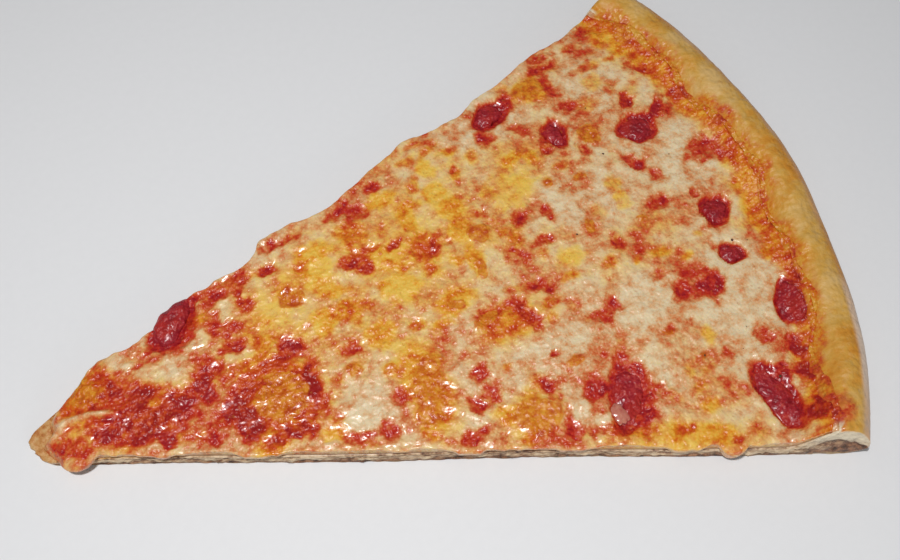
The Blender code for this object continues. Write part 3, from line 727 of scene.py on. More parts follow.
def make_cheese_mesh():
    """Melted cheese as a height field over the sauce, sunk to a film under the tomato pieces and
    feathered out towards the rim. Its cut edges bulge, sag over the dough and run down to the surface
    below at the drips."""
    turn, share, side = around_section(CHEESE_COLUMNS, CHEESE_LEVELS, CHEESE_UNDER_COLUMNS)
    radius, distance = rows_to_edge(
        turn, cheese_front(turn), CHEESE_EDGE, CHEESE_LEVEL_ROWS, CHEESE_EDGE_ROWS, CHEESE_EDGE_BAND
    )
    turn, share, side = (row[None, :] + 0 * radius for row in (turn, share, side))
    x, y = place(radius, turn, 0.0)
    fields = cheese_fields(x, y)
    near_fold, fold_share = along_line(x, y, FOLD_LINE)
    pale = 0.9 * bell(near_fold, 1.2 * MM) * ease(5 * (1 - fold_share))
    fields["cover"] = blend(fields["cover"], 0.76, pale)
    fields["oil"] = fields["oil"] * (1 - pale)
    reach = tomato_reach(x, y) + 0.15 * cloud(x, y, 2.2 * MM, 115, 2)
    fields["cover"] = blend(fields["cover"], 0.05, ease((1.4 - reach) / 0.35))
    thick = cheese_height(x, y, fields)
    thick = blend(thick * (1 - 0.4 * ease((1.5 - reach) / 0.5)), 0.12 * MM, ease((0.94 - reach) / 0.3))
    rim_side = ease((topping_edge(turn, CHEESE_EDGE) - radius) / (8 * MM))
    tip_side = 1 - (1 - np.clip((radius - tip_radius(turn) - cheese_front(turn)) / (3.4 * MM), 0, 1)) ** 2
    thick = np.maximum(thick * blend(0.03, 1.0, rim_side) * tip_side, 0.06 * MM)
    end = 1 - ease(distance / (4 * MM))
    tip_end = end * (radius < 100 * MM)
    base = sauce_top(radius, turn) + LAYER_GAP - (GAP + SAUCE_THICKNESS + LAYER_GAP) * tip_end
    top = base + thick
    base = base - 0.35 * MM * end * (share < 0.01)
    ragged_end = topping_edge(turn, CHEESE_EDGE) - radius + 1.8 * MM * cloud(x, y, 4 * MM, 125, 3)
    dive = 0.45 * MM * ease((1.6 * MM - ragged_end) / (1.6 * MM)) * ease((radius - 120 * MM) / (20 * MM))
    top, base = top - dive, base - dive

    hang, past = drip_amount(radius)
    ragged = np.clip(0.5 + 1.2 * cloud(radius, turn * 50 * MM, 9 * MM, 121, 3), 0, 1) ** 1.5
    near_side = side * (turn < 0)
    sag = np.maximum(
        near_side * hang * (top - 0.35 * MM), 0.8 * (top - base) + (0.2 + 1.7 * ragged**2) * MM
    )
    sag = np.minimum(sag, top - 0.3 * MM) * ease(distance / (2 * MM))
    z = np.where(side > 0, top - sag * (1 - share) ** 1.5, blend(base, top, share))
    lip = (0.12 + 0.6 * ragged) * MM + np.where(turn < 0, 0.8 * past, 0.0)
    face = np.maximum(0.15 * MM - CUT_SLANT * z, 0.1 * MM - CUT_SLANT * base)
    face = face + (0.9 * ragged - 0.7) * MM * (1 - hang)
    near_past = 0.45 * np.where(turn < 0, past, 0.0)
    over = (1.1 * ragged - 0.8) * MM - CUT_SLANT * base + near_past * (share > 0.99)
    lean = blend(face + 0.45 * MM * near_side * hang, over + near_past, share)
    bulged = lean + lip * np.sin(np.pi * (1 - share) ** 0.8) ** 0.7
    outward = np.where(side > 0, bulged, over)
    outward = np.where((share < 0.01) & (side == 0), -CUT_SLANT * base - 0.2 * MM, outward)
    x, y = place(radius, turn, outward)
    # edge: where the cut sides are painted paler, partly their own colour and partly a painted highlight
    fields["edge"] = side * ease((1 - share) / 0.5)
    return closed_mesh("cheese_skin", x, y, z, fields, CHEESE_COLUMNS, turn[0])


# ---------------------------------------------------------------- tomato and small things

TOMATO_AROUND = 56
TOMATO_LEVELS = 36
TOMATO_RISE = 0.58
TOMATO_SEAT = 0.25 * MM
SPECK_COUNT = 34
SPECK_SIZE = 0.42
ONION_PLACE = (166.2 * MM, -51 * MM)
ONION_SIZES = (3.1 * MM, 2.0 * MM, 0.7 * MM)


def ragged_outline(angle, seed):
    """How far out a tomato piece reaches in a direction, as a share of its size."""
    broad = 0.10 * np.sin(2 * angle + seed) + 0.07 * np.sin(3 * angle + 2 * seed)
    return 1 + broad + 0.04 * np.sin(5 * angle)


def tomato_disc(x, y, piece):
    """Carries plan points into the unit disc of a tomato piece."""
    radius, turn, length, width, heading, _ = piece
    px, py = place(np.array(radius * MM), np.array(turn), 0.0)
    c, s = np.cos(np.radians(heading)), np.sin(np.radians(heading))
    return ((x - px) * c + (y - py) * s) / (length * MM), ((y - py) * c - (x - px) * s) / (width * MM)


def make_tomato_mesh(number, piece):
    """A lump from rings of latitude: the plan is the ragged outline times cos(latitude), the top rises by
    a power of sin(latitude) with pulpy noise on it, and the underside follows the sauce."""
    radius, turn, length, width, heading, height = piece
    px, py = place(np.array(radius * MM), np.array(turn), 0.0)
    latitude = np.linspace(-np.pi / 2, np.pi / 2, TOMATO_LEVELS)[:, None]
    angle = np.linspace(0, 2 * np.pi, TOMATO_AROUND, endpoint=False)[None, :]
    reach = np.cos(latitude) ** 0.9 * ragged_outline(angle, number) * (
        1 + 0.04 * np.sin(9 * angle + number)
    )
    u, v = reach * np.cos(angle) * length * MM, reach * np.sin(angle) * width * MM
    c, s = np.cos(np.radians(heading)), np.sin(np.radians(heading))
    x, y = px + u * c - v * s, py + u * s + v * c
    rise = np.maximum(np.sin(latitude), 0) ** 0.8 * TOMATO_RISE * height * MM
    pulp = MM * (
        0.55 * cloud(x, y, 3 * MM, 200 + number, 3) + 0.25 * cloud(x, y, 1.1 * MM, 300 + number, 2)
    )
    seat = sauce_top(*polar(x, y)) + TOMATO_SEAT
    z = seat + rise + pulp * np.maximum(np.sin(latitude), 0)
    return closed_mesh(f"tomato_skin_{number}", x, y, z, {})


def surface_height(x, y):
    """About how high the cheese stands at a place of the plan."""
    cover = cheese_fields(x, y)["cover"]
    return sauce_top(*polar(x, y)) + CHEESE_THICKNESS * (0.62 + 0.42 * ease(cover))


def pebble(x, y, z, sizes, turn_by, seed, around=12, levels=8):
    """A rough pebble: a sphere in rings of latitude, squashed to three sizes, turned, and dented by
    noise."""
    latitude = np.linspace(-np.pi / 2, np.pi / 2, levels)[:, None]
    angle = np.linspace(0, 2 * np.pi, around, endpoint=False)[None, :]
    dent = 1 + 0.22 * soft_noise(3 * np.cos(angle) + 9, 3 * np.sin(angle) + 2 * latitude + 9, seed)
    u = np.cos(latitude) * np.cos(angle) * dent * sizes[0]
    v = np.cos(latitude) * np.sin(angle) * dent * sizes[1]
    w = np.sin(latitude) * sizes[2] + 0 * angle
    c, s = np.cos(turn_by), np.sin(turn_by)
    return x + u * c - v * s, y + u * s + v * c, z + w


def joined_pebbles(name, pebbles):
    """One mesh from many pebbles, each closed at its poles."""
    points, faces, start = [], [], 0
    for x, y, z in pebbles:
        rings, around = x.shape
        points.append(np.stack([x + PIE_CENTRE[0], y + PIE_CENTRE[1], z + 0 * x], -1).reshape(-1, 3))
        faces.append(ring_faces(rings, around) + start)
        start += rings * around
    mesh = bpy.data.meshes.new(name)
    mesh.from_pydata(np.concatenate(points), [], np.concatenate(faces))
    close_and_orient(mesh)
    return mesh


def make_speck_mesh():
    """Dark specks of pepper and herb: flat pebbles 0.25 to 0.85 mm across, the larger ones at set
    places."""
    random = np.random.default_rng(7)
    radii = np.sqrt(random.uniform(40**2, 226**2, SPECK_COUNT)) * MM
    turns = random.uniform(-0.9, 0.9, SPECK_COUNT)
    xs, ys = place(radii, turns, 0.0)
    xs = np.concatenate([np.array([spot[0] for spot in SPECK_SPOTS]) * MM, xs])
    ys = np.concatenate([np.array([spot[1] for spot in SPECK_SPOTS]) * MM, ys])
    heights = surface_height(xs, ys)
    pebbles = []
    for number in range(len(xs)):
        size = (SPECK_SIZE if number < len(SPECK_SPOTS) else random.uniform(0.12, 0.26)) * MM
        sizes = (size, size * random.uniform(0.6, 1.0), size * 0.45)
        z = heights[number] + 0.12 * MM
        pebbles.append(pebble(xs[number], ys[number], z, sizes, random.uniform(0, 3), number))
    return joined_pebbles("pepper_specks", pebbles)


def make_onion_mesh():
    """A see-through chip of onion lying in the red by the near cut: a flat pebble 6 mm long."""
    x, y = np.array(ONION_PLACE[0]), np.array(ONION_PLACE[1])
    z = surface_height(x, y) + 0.35 * MM
    return joined_pebbles("onion_chip", [pebble(x, y, z, ONION_SIZES, 1.75, 3, 40, 24)])


# ---------------------------------------------------------------- materials


class Graph:
    """Short calls that add nodes to a tree and link them."""

    def __init__(self, tree):
        self.tree = tree

    def node(self, kind, inputs=(), **settings):
        made = self.tree.nodes.new(kind)
        for key, value in settings.items():
            setattr(made, key, value)
        for key, value in dict(inputs).items():
            self.feed(made.inputs[key], value)
        return made

    def feed(self, socket, value):
        if isinstance(value, bpy.types.NodeSocket):
            self.tree.links.new(value, socket)
        else:
            socket.default_value = value

    def maths(self, operation, a, b=0.0, clamp=False):
        made = self.node("ShaderNodeMath", {0: a, 1: b}, operation=operation, use_clamp=clamp)
        return made.outputs[0]

    def mix(self, share, a, b, blend_type="MIX"):
        made = self.node("ShaderNodeMix", {0: share, 6: a, 7: b}, data_type="RGBA", blend_type=blend_type)
        return made.outputs[2]

    def ramp(self, value, stops):
        made = self.node("ShaderNodeValToRGB", {0: value})
        elements = made.color_ramp.elements
        while len(elements) < len(stops):
            elements.new(0.5)
        for element, (position, colour) in zip(elements, stops):
            element.position = position
            element.color = (*colour, 1)
        return made.outputs[0]

    def span(self, value, low, high, to_low=0.0, to_high=1.0):
        made = self.node("ShaderNodeMapRange", {0: value, 1: low, 2: high, 3: to_low, 4: to_high})
        made.interpolation_type = "SMOOTHSTEP"
        return made.outputs[0]

    def attribute(self, name):
        return self.node("ShaderNodeAttribute", attribute_name=name).outputs["Fac"]

    def place(self):
        return self.node("ShaderNodeTexCoord").outputs["Object"]

    def noise(self, vector, scale, detail=3.0, roughness=0.55):
        made = self.node(
            "ShaderNodeTexNoise",
            {"Vector": vector, "Scale": scale, "Detail": detail, "Roughness": roughness},
        )
        return made.outputs[0]

    def group(self, tree, inputs):
        made = self.node("ShaderNodeGroup")
        made.node_tree = tree
        for key, value in inputs.items():
            self.feed(made.inputs[key], value)
        return made


def new_group(name, inputs, outputs):
    """An empty node group with named number inputs and outputs. Returns its graph, inputs and outputs."""
    tree = bpy.data.node_groups.new(name, "ShaderNodeTree")
    tree.interface.new_socket(name="Vector", in_out="INPUT", socket_type="NodeSocketVector")
    for key, value in inputs.items():
        socket = tree.interface.new_socket(name=key, in_out="INPUT", socket_type="NodeSocketFloat")
        socket.default_value = value
    for key in outputs:
        tree.interface.new_socket(name=key, in_out="OUTPUT", socket_type="NodeSocketFloat")
    graph = Graph(tree)
    return graph, graph.node("NodeGroupInput").outputs, graph.node("NodeGroupOutput").inputs


def mottle_group():
    """Soft patches with finer grain inside them: two noises, one five times finer, mixed and given
    contrast."""
    if "Mottle" in bpy.data.node_groups:
        return bpy.data.node_groups["Mottle"]
    graph, given, result = new_group(
        "Mottle", {"Scale": 100.0, "Grain": 0.35, "Contrast": 2.0}, ["Value"]
    )
    broad = graph.noise(given["Vector"], given["Scale"], 2.0, 0.5)
    fine = graph.noise(given["Vector"], graph.maths("MULTIPLY", given["Scale"], 5.0), 3.0, 0.6)
    mixed = graph.maths(
        "ADD", broad, graph.maths("MULTIPLY", graph.maths("SUBTRACT", fine, 0.5), given["Grain"])
    )
    stretched = graph.maths("MULTIPLY", graph.maths("SUBTRACT", mixed, 0.5), given["Contrast"])
    graph.feed(result["Value"], graph.maths("ADD", stretched, 0.5, clamp=True))
    return graph.tree


def wet_skin_group():
    """The height of an oily, wrinkled skin: fine rounded grains over soft wrinkles."""
    if "Wet Skin" in bpy.data.node_groups:
        return bpy.data.node_groups["Wet Skin"]
    graph, given, result = new_group("Wet Skin", {"Scale": 900.0, "Grains": 0.5}, ["Height"])
    wrinkle = graph.noise(given["Vector"], graph.maths("MULTIPLY", given["Scale"], 0.35), 1.0, 0.5)
    grain = graph.noise(given["Vector"], given["Scale"], 0.0, 0.5)
    graph.feed(
        result["Height"], graph.maths("ADD", wrinkle, graph.maths("MULTIPLY", grain, given["Grains"]))
    )
    return graph.tree


def new_material(name, roughness, coat=0.0, coat_roughness=0.1, ior=1.45):
    """A material with a Principled shader whose constant numbers are set on the shader itself."""
    material = bpy.data.materials.new(name)
    material.use_nodes = True
    graph = Graph(material.node_tree)
    shader = material.node_tree.nodes["Principled BSDF"]
    shader.inputs["Roughness"].default_value = roughness
    shader.inputs["IOR"].default_value = ior
    shader.inputs["Specular IOR Level"].default_value = 0.35
    shader.inputs["Coat Weight"].default_value = coat
    shader.inputs["Coat Roughness"].default_value = coat_roughness
    return material, graph, shader


def add_bump(graph, shader, height, distance, strength=1.0):
    made = graph.node("ShaderNodeBump", {"Height": height, "Distance": distance, "Strength": strength})
    graph.feed(shader.inputs["Normal"], made.outputs[0])


def colour(value):
    return (*tuple(value)[:3], 1.0)


def cheese_material(look):
    """Melted cheese. cover runs two ramps: a plain one from crimson through pink and peach to cream, and
    an oily one from red through orange and gold to yellow; oil mixes them, and brown lays browned orange
    over."""
    material, graph, shader = new_material("melted_cheese", 0.34, 0.5, 0.2, 1.46)
    where = graph.place()
    mottle = graph.group(
        mottle_group(), {"Vector": where, "Scale": 420.0, "Grain": 0.4, "Contrast": 2.2}
    ).outputs[0]
    freckle = graph.group(
        mottle_group(), {"Vector": where, "Scale": 1100.0, "Grain": 0.4, "Contrast": 2.6}
    ).outputs[0]
    shift = graph.maths("MULTIPLY", graph.maths("SUBTRACT", mottle, 0.5), 0.40)
    shift = graph.maths(
        "ADD", shift, graph.maths("MULTIPLY", graph.maths("SUBTRACT", freckle, 0.5), 0.13)
    )
    cover = graph.maths("ADD", graph.attribute("cover"), shift, clamp=True)
    plain = graph.ramp(cover, (
        (0.00, look.crimson), (0.16, look.red), (0.32, (0.57, 0.062, 0.012)), (0.46, (0.63, 0.16, 0.045)),
        (0.60, (0.68, 0.30, 0.115)), (0.78, look.peach), (1.00, look.cream),
    ))
    oily = graph.ramp(cover, (
        (0.00, (0.32, 0.008, 0.003)), (0.16, (0.47, 0.028, 0.002)), (0.32, look.orange), (
            0.48, (0.66, 0.165, 0.003)
        ),
        (0.62, (0.75, 0.295, 0.015)), (0.80, (0.80, 0.43, 0.045)), (1.00, look.yellow),
    ))
    oil = graph.maths("ADD", graph.attribute("oil"), graph.maths("MULTIPLY", shift, 0.9))
    base = graph.mix(graph.span(oil, 0.05, 0.95), plain, oily)
    browned = graph.ramp(
        mottle, ((0.10, (0.48, 0.06, 0.004)), (0.45, look.browned), (0.9, (0.72, 0.29, 0.016)))
    )
    brown = graph.span(graph.maths("ADD", graph.attribute("brown"), shift), 0.2, 0.7, 0.0, 0.88)
    base = graph.mix(brown, base, browned)
    toasted = graph.span(graph.noise(where, 620.0, 3.0, 0.65), 0.60, 0.70, 0.0, 0.4)
    base = graph.mix(toasted, base, (0.50, 0.155, 0.022, 1))
    # The cut sides of the cheese are painted paler: partly the cheese's own paler colour there, partly a
    # painted highlight along the cut edge
    pale_side_and_edge_highlight = graph.ramp(freckle, ((0.2, (0.64, 0.33, 0.13)), (0.8, (0.78, 0.53, 0.29))))
    base = graph.mix(graph.maths("MULTIPLY", graph.attribute("edge"), 0.5), base, pale_side_and_edge_highlight)
    graph.feed(shader.inputs["Base Color"], base)
    graph.feed(shader.inputs["Roughness"], graph.span(mottle, 0.0, 1.0, 0.28, 0.46))
    graph.feed(shader.inputs["Coat Weight"], graph.span(freckle, 0.2, 0.8, 0.1, 0.7))
    shader.inputs["Subsurface Weight"].default_value = 0.1
    shader.inputs["Subsurface Radius"].default_value = (0.0016, 0.0007, 0.0003)
    shader.inputs["Subsurface Scale"].default_value = 1.0
    skin = graph.group(wet_skin_group(), {"Vector": where, "Scale": 1050.0, "Grains": 0.75}).outputs[0]
    wrinkled = graph.span(graph.attribute("cover"), 0.3, 0.95, 1.0, 0.48)
    add_bump(graph, shader, graph.maths("MULTIPLY", skin, wrinkled), 0.62 * MM, 1.0)
    return material


def oily_colour(graph, where, look):
    """Orange oil on sauce or crust: red, orange and gold in ragged patches."""
    mottle = graph.group(
        mottle_group(), {"Vector": where, "Scale": 230.0, "Grain": 0.7, "Contrast": 2.4}
    ).outputs[0]
    oiled = graph.ramp(mottle, (
        (0.05, (0.52, 0.045, 0.004)), (0.28, look.oil), (
            0.55, (0.63, 0.205, 0.006)
        ), (0.9, (0.68, 0.33, 0.035)),
    ))
    reddened = graph.ramp(mottle, ((0.2, look.crimson), (0.5, look.red), (0.9, (0.60, 0.10, 0.02))))
    return graph.mix(graph.maths("MULTIPLY", graph.attribute("red"), 0.85), oiled, reddened)


def sauce_material(look):
    """Sauce stained with orange oil where it lies bare along the rim, red under the cheese."""
    material, graph, shader = new_material("tomato_sauce", 0.32, 0.6, 0.2)
    where = graph.place()
    base = graph.mix(graph.attribute("bare"), colour(look.red), oily_colour(graph, where, look))
    base = graph.mix(graph.maths("MULTIPLY", graph.attribute("edge"), 0.85), base, (0.62, 0.36, 0.18, 1))
    graph.feed(shader.inputs["Base Color"], base)
    skin = graph.group(wet_skin_group(), {"Vector": where, "Scale": 1050.0, "Grains": 0.8}).outputs[0]
    add_bump(graph, shader, skin, 0.7 * MM, 1.0)
    return material


def tomato_material():
    """Wet crushed tomato: crimson with brighter pulp and a tight gloss."""
    material, graph, shader = new_material("crushed_tomato", 0.42, 0.2, 0.2)
    where = graph.place()
    mottle = graph.group(
        mottle_group(), {"Vector": where, "Scale": 420.0, "Grain": 0.6, "Contrast": 2.0}
    ).outputs[0]
    base = graph.ramp(
        mottle,
        (
            (0.15, (0.25, 0.009, 0.016)),
            (0.5, (0.33, 0.010, 0.018)),
            (0.8, (0.42, 0.026, 0.030)),
            (1.0, (0.50, 0.07, 0.05)),
        ),
    )
    broad = graph.noise(where, 190.0, 2.0, 0.5)
    base = graph.mix(graph.span(broad, 0.50, 0.66, 0.0, 0.55), base, (0.47, 0.024, 0.012, 1))
    graph.feed(shader.inputs["Base Color"], base)
    shader.inputs["Subsurface Weight"].default_value = 0.1
    shader.inputs["Subsurface Radius"].default_value = (0.0015, 0.0003, 0.0002)
    skin = graph.group(wet_skin_group(), {"Vector": where, "Scale": 1050.0, "Grains": 0.8}).outputs[0]
    add_bump(graph, shader, skin, 0.7 * MM, 1.0)
    return material


def crust_material(look):
    """Baked dough: golden rim with paler and browner mottling, oil-stained inside, pale fibrous crumb
    with painted shade in its pits and slit, over a browned and charred foot on the cuts that is painted
    near black towards the floor, partly char and partly painted shade, a tan tip, and a floury, spotted
    underside."""
    material, graph, shader = new_material("baked_crust", 0.45, 0.25, 0.2)
    where = graph.place()
    broad = graph.group(
        mottle_group(), {"Vector": where, "Scale": 95.0, "Grain": 0.7, "Contrast": 2.6}
    ).outputs[0]
    fine = graph.group(
        mottle_group(), {"Vector": where, "Scale": 480.0, "Grain": 0.6, "Contrast": 2.2}
    ).outputs[0]
    soft = graph.span(graph.noise(where, 60.0, 2.0, 0.4), 0.3, 0.7)
    blotch = graph.maths("ADD", graph.maths("MULTIPLY", soft, 0.6), graph.maths("MULTIPLY", broad, 0.4))
    rim = graph.ramp(blotch, (
        (
            0.05, (0.52, 0.19, 0.014)
        ), (0.3, look.crust), (0.6, (0.62, 0.34, 0.06)), (0.95, look.crust_pale),
    ))
    rim = graph.mix(graph.span(fine, 0.5, 1.0, 0.0, 0.35), rim, (0.68, 0.43, 0.16, 1))
    rim = graph.mix(graph.span(fine, 0.35, 0.0, 0.0, 0.25), rim, (0.52, 0.18, 0.016, 1))
    outer = graph.span(graph.attribute("outer"), 0.15, 0.6, 0.0, 0.75)
    rim = graph.mix(outer, rim, colour(look.crust_brown))
    floury = graph.maths(
        "MULTIPLY", graph.span(graph.attribute("outer"), 0.18, 0.4), graph.attribute("floury")
    )
    rim = graph.mix(floury, rim, (0.70, 0.53, 0.40, 1))
    oil = graph.maths("MULTIPLY", graph.attribute("oil"), graph.span(fine, 0.1, 0.7, 0.6, 1.0))
    rim = graph.mix(oil, rim, oily_colour(graph, where, look))
    torn = graph.ramp(
        fine, ((0.1, (0.42, 0.14, 0.03)), (0.5, (0.55, 0.26, 0.08)), (0.9, (0.62, 0.38, 0.16)))
    )
    rim = graph.mix(graph.attribute("tip"), rim, torn)

    stretched = graph.node("ShaderNodeMapping", {"Vector": where, "Scale": (1.0, 1.0, 4.0)}).outputs[0]
    fibre = graph.noise(stretched, 700.0, 3.0, 0.6)
    # The crumb's own fibrous tone, painted darker where it is sunk deeper and in the slit: painted shade
    # in the pits and the slit
    tone_and_pit_shade = graph.maths(
        "ADD", graph.attribute("crumb_tone_and_pit_shade"), graph.span(fibre, 0.3, 0.7, -0.3, 0.3), clamp=True
    )
    crumb = graph.ramp(tone_and_pit_shade, (
        (0.10, (0.70, 0.54, 0.36)), (0.45, look.crumb), (0.72, (0.36, 0.20, 0.11)), (
            1.0, (0.13, 0.055, 0.03)
        ),
    ))
    whitened = graph.span(graph.attribute("rise"), 0.4, 0.8, 0.0, 0.7)
    crumb = graph.mix(whitened, crumb, (0.86, 0.76, 0.56, 1))
    # The foot of each cut: browned and charred, and painted near black towards the floor, partly char and
    # partly painted shade where the cut meets the floor
    char_and_floor_shade = graph.ramp(
        fine, ((0.15, (0.05, 0.02, 0.010)), (0.5, (0.22, 0.09, 0.04)), (0.85, (0.40, 0.19, 0.09)))
    )
    foot = graph.maths(
        "ADD",
        graph.attribute("height"),
        graph.maths("MULTIPLY", graph.maths("SUBTRACT", broad, 0.5), 0.35),
    )
    crumb = graph.mix(graph.span(foot, 0.12, 0.58, 1.0, 0.0), crumb, char_and_floor_shade)
    base = graph.mix(graph.attribute("cut"), rim, crumb)

    floor_side = graph.ramp(
        broad,
        (
            (0.1, (0.13, 0.06, 0.03)),
            (0.3, (0.36, 0.19, 0.08)),
            (0.55, (0.56, 0.37, 0.18)),
            (0.9, (0.66, 0.52, 0.34)),
        ),
    )
    floor_side = graph.mix(graph.span(fine, 0.55, 0.95, 0.0, 0.7), floor_side, (0.24, 0.12, 0.06, 1))
    base = graph.mix(graph.attribute("under"), base, floor_side)
    graph.feed(shader.inputs["Base Color"], base)
    graph.feed(shader.inputs["Roughness"], graph.span(oil, 0.0, 1.0, 0.5, 0.3))
    graph.feed(shader.inputs["Coat Weight"], graph.span(oil, 0.0, 1.0, 0.2, 0.7))
    grain = graph.noise(where, 800.0, 1.0, 0.5)
    skin = graph.group(wet_skin_group(), {"Vector": where, "Scale": 700.0, "Grains": 0.6}).outputs[0]
    add_bump(graph, shader, graph.maths("ADD", skin, graph.maths("MULTIPLY", grain, 0.5)), 0.48 * MM, 1.0)
    return material


def speck_material():
    material, graph, shader = new_material("pepper", 0.5)
    tone = graph.noise(graph.place(), 2500.0, 2.0)
    graph.feed(
        shader.inputs["Base Color"],
        graph.ramp(tone, ((0.3, (0.05, 0.022, 0.012)), (0.7, (0.16, 0.07, 0.03)))),
    )
    return material


def onion_material():
    """A cooked chip of onion, pinkish and half clear."""
    material, graph, shader = new_material("cooked_onion", 0.25, 0.5, 0.08)
    tone = graph.noise(graph.place(), 600.0, 3.0)
    graph.feed(
        shader.inputs["Base Color"],
        graph.ramp(tone, ((0.3, (0.46, 0.10, 0.075)), (0.7, (0.58, 0.24, 0.16)))),
    )
    shader.inputs["Subsurface Weight"].default_value = 0.2
    shader.inputs["Subsurface Radius"].default_value = (0.002, 0.001, 0.0006)
    return material


def floor_material(look):
    material, graph, shader = new_material("pale_floor", 0.6)
    tone = graph.noise(graph.place(), 400.0, 3.0)
    shade = tuple(look.floor)
    darker = tuple(value * 0.985 for value in shade)
    graph.feed(shader.inputs["Base Color"], graph.ramp(tone, ((0.3, darker), (0.7, shade))))
    return material


# ---------------------------------------------------------------- add-on


def paint(name, text, default):
    return FloatVectorProperty(
        name=name, description=text, default=default, subtype="COLOR", size=3, min=0.0, max=1.0
    )


class PizzaLook(bpy.types.PropertyGroup):
    """Colours of the slice."""

    crimson: paint("Crimson", "Barest sauce", (0.335, 0.006, 0.011))
    red: paint("Red", "Sauce through thin cheese", (0.51, 0.018, 0.005))
    orange: paint("Orange", "Oily sauce through thin cheese", (0.60, 0.075, 0.001))
    peach: paint("Peach", "Cheese tinted by sauce", (0.73, 0.47, 0.245))
    cream: paint("Cream", "Thick cheese", (0.775, 0.615, 0.385))
    yellow: paint("Yellow", "Cheese soaked with oil", (0.82, 0.52, 0.085))
    browned: paint("Browned", "Browned blisters", (0.61, 0.15, 0.003))
    oil: paint("Oil", "Orange oil along the rim", (0.60, 0.125, 0.003))
    crust: paint("Crust", "Golden rim", (0.61, 0.265, 0.028))
    crust_pale: paint("Pale crust", "Paler patches of the rim", (0.66, 0.42, 0.15))
    crust_brown: paint("Brown crust", "Outer side of the rim", (0.54, 0.20, 0.014))
    crumb: paint("Crumb", "Bread at the cuts", (0.55, 0.38, 0.23))
    floor: paint("Floor", "Floor under the slice", (0.80, 0.80, 0.81))


class PizzaStage(bpy.types.PropertyGroup):
    """Light and camera."""

    key_power: FloatProperty(
        name="Key light", description="Power of the key light", default=2.14, min=0.0, unit="POWER"
    )
    fill_power: FloatProperty(
        name="Fill light", description="Power of the low fill light", default=0.32, min=0.0, unit="POWER"
    )
    sky: FloatProperty(
        name="Soft light", description="Strength of the soft light all round", default=0.18, min=0.0
    )
    lens: FloatProperty(
        name="Lens", description="Focal length of the camera", default=CAMERA_LENS, min=10.0
    )


class PIZZA_OT_crust(bpy.types.Operator):
    """Build the crust with its rim, crumb and underside"""

    bl_idname = "pizza.crust"
    bl_label = "Crust"

    def execute(self, context):
        finish_piece(
            "crust_skin", make_crust_mesh(), crust_material(context.scene.pizza_look), ["crust"]
        )
        return {"FINISHED"}


class PIZZA_OT_sauce(bpy.types.Operator):
    """Build the layer of sauce"""

    bl_idname = "pizza.sauce"
    bl_label = "Sauce"

    def execute(self, context):
        finish_piece(
            "sauce_skin", make_sauce_mesh(), sauce_material(context.scene.pizza_look), ["sauce"]
        )
        return {"FINISHED"}


class PIZZA_OT_cheese(bpy.types.Operator):
    """Build the melted cheese"""

    bl_idname = "pizza.cheese"
    bl_label = "Cheese"

    def execute(self, context):
        finish_piece(
            "cheese_skin",
            make_cheese_mesh(),
            cheese_material(context.scene.pizza_look),
            ["cheese"],
        )
        return {"FINISHED"}


class PIZZA_OT_tomato(bpy.types.Operator):
    """Build the pieces of crushed tomato"""

    bl_idname = "pizza.tomato"
    bl_label = "Tomato"

    def execute(self, context):
        material = tomato_material()
        for number, piece in enumerate(TOMATO_PIECES, 1):
            mesh = make_tomato_mesh(number, piece)
            finish_piece(f"tomato_skin_{number}", mesh, material, [f"tomato_piece_{number}"])
        return {"FINISHED"}


class PIZZA_OT_garnish(bpy.types.Operator):
    """Build the onion chip and the specks of pepper"""

    bl_idname = "pizza.garnish"
    bl_label = "Garnish"

    def execute(self, context):
        finish_piece("onion_chip", make_onion_mesh(), onion_material())
        finish_piece("pepper_specks", make_speck_mesh(), speck_material())
        return {"FINISHED"}


def add_light(name, location, size, power):
    """A disk of light that faces the slice."""
    light = bpy.data.lights.new(name, "AREA")
    light.shape = "DISK"
    light.size = size
    light.energy = power
    lamp = bpy.data.objects.new(name, light)
    lamp.location = location
    lamp.rotation_mode = "QUATERNION"
    lamp.rotation_quaternion = (-location).to_track_quat("-Z", "Y")
    bpy.context.scene.collection.objects.link(lamp)


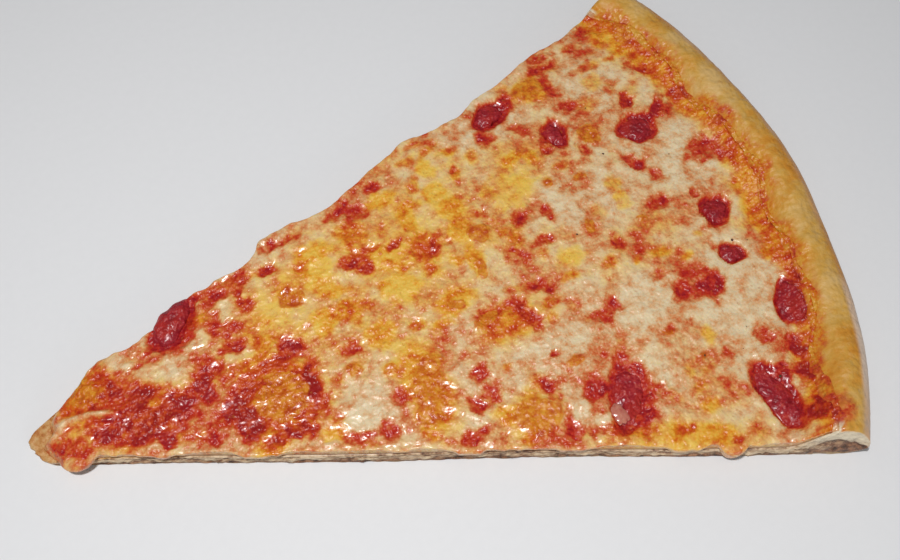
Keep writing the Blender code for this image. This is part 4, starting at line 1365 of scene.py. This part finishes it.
class PIZZA_OT_stage(bpy.types.Operator):
    """Set up the floor, the lights and the camera"""

    bl_idname = "pizza.stage"
    bl_label = "Stage"

    def execute(self, context):
        scene = context.scene
        stage = scene.pizza_stage
        mesh = bpy.data.meshes.new("floor")
        half = FLOOR_HALF_WIDTH
        corners = [
            (-half, -half, -FLOOR_DROP),
            (half, -half, -FLOOR_DROP),
            (half, half, -FLOOR_DROP),
            (-half, half, -FLOOR_DROP),
        ]
        mesh.from_pydata(corners, [], [(0, 1, 2, 3)])
        mesh.materials.append(floor_material(scene.pizza_look))
        floor = bpy.data.objects.new("floor", mesh)
        scene.collection.objects.link(floor)

        centre = Vector((PIE_CENTRE[0], PIE_CENTRE[1], 0))
        camera = bpy.data.objects.new("camera", bpy.data.cameras.new("camera"))
        camera.data.lens = stage.lens
        camera.data.sensor_width = CAMERA_SENSOR
        camera.location = centre + CAMERA_PLACE
        level = Vector((np.sin(CAMERA_TURN), np.cos(CAMERA_TURN), 0)) * np.cos(CAMERA_DOWN)
        look_along = level - Vector((0, 0, np.sin(CAMERA_DOWN)))
        camera.rotation_mode = "QUATERNION"
        camera.rotation_quaternion = look_along.to_track_quat("-Z", "Y")
        scene.collection.objects.link(camera)
        scene.camera = camera

        add_light("key", camera.location + KEY_OFFSET, KEY_SIZE, stage.key_power)
        add_light("fill", centre + FILL_PLACE, FILL_SIZE, stage.fill_power)

        world = bpy.data.worlds.new("soft_light")
        world.use_nodes = True
        background = world.node_tree.nodes["Background"]
        background.inputs["Color"].default_value = (0.96, 0.98, 1.0, 1)
        background.inputs["Strength"].default_value = stage.sky
        scene.world = world
        scene.view_settings.view_transform = "Standard"
        return {"FINISHED"}


STEPS = (
    PIZZA_OT_stage, PIZZA_OT_crust, PIZZA_OT_sauce, PIZZA_OT_cheese, PIZZA_OT_tomato, PIZZA_OT_garnish,
)


class PIZZA_PT_panel(bpy.types.Panel):
    """Lists the steps and the settings"""

    bl_label = "Pizza Slice"
    bl_idname = "PIZZA_PT_panel"
    bl_space_type = "VIEW_3D"
    bl_region_type = "UI"
    bl_category = "Pizza"

    def draw(self, context):
        for step in STEPS:
            self.layout.operator(step.bl_idname)
        for settings in (context.scene.pizza_look, context.scene.pizza_stage):
            for name in settings.__annotations__:
                self.layout.prop(settings, name)


CLASSES = (PizzaLook, PizzaStage, *STEPS, PIZZA_PT_panel)


def register():
    for item in CLASSES:
        bpy.utils.register_class(item)
    bpy.types.Scene.pizza_look = PointerProperty(type=PizzaLook)
    bpy.types.Scene.pizza_stage = PointerProperty(type=PizzaStage)


def unregister():
    del bpy.types.Scene.pizza_stage
    del bpy.types.Scene.pizza_look
    for item in reversed(CLASSES):
        bpy.utils.unregister_class(item)


def main():
    register()
    for step in STEPS:
        getattr(bpy.ops.pizza, step.bl_idname.split(".")[1])()


if __name__ == "__main__":
    main()
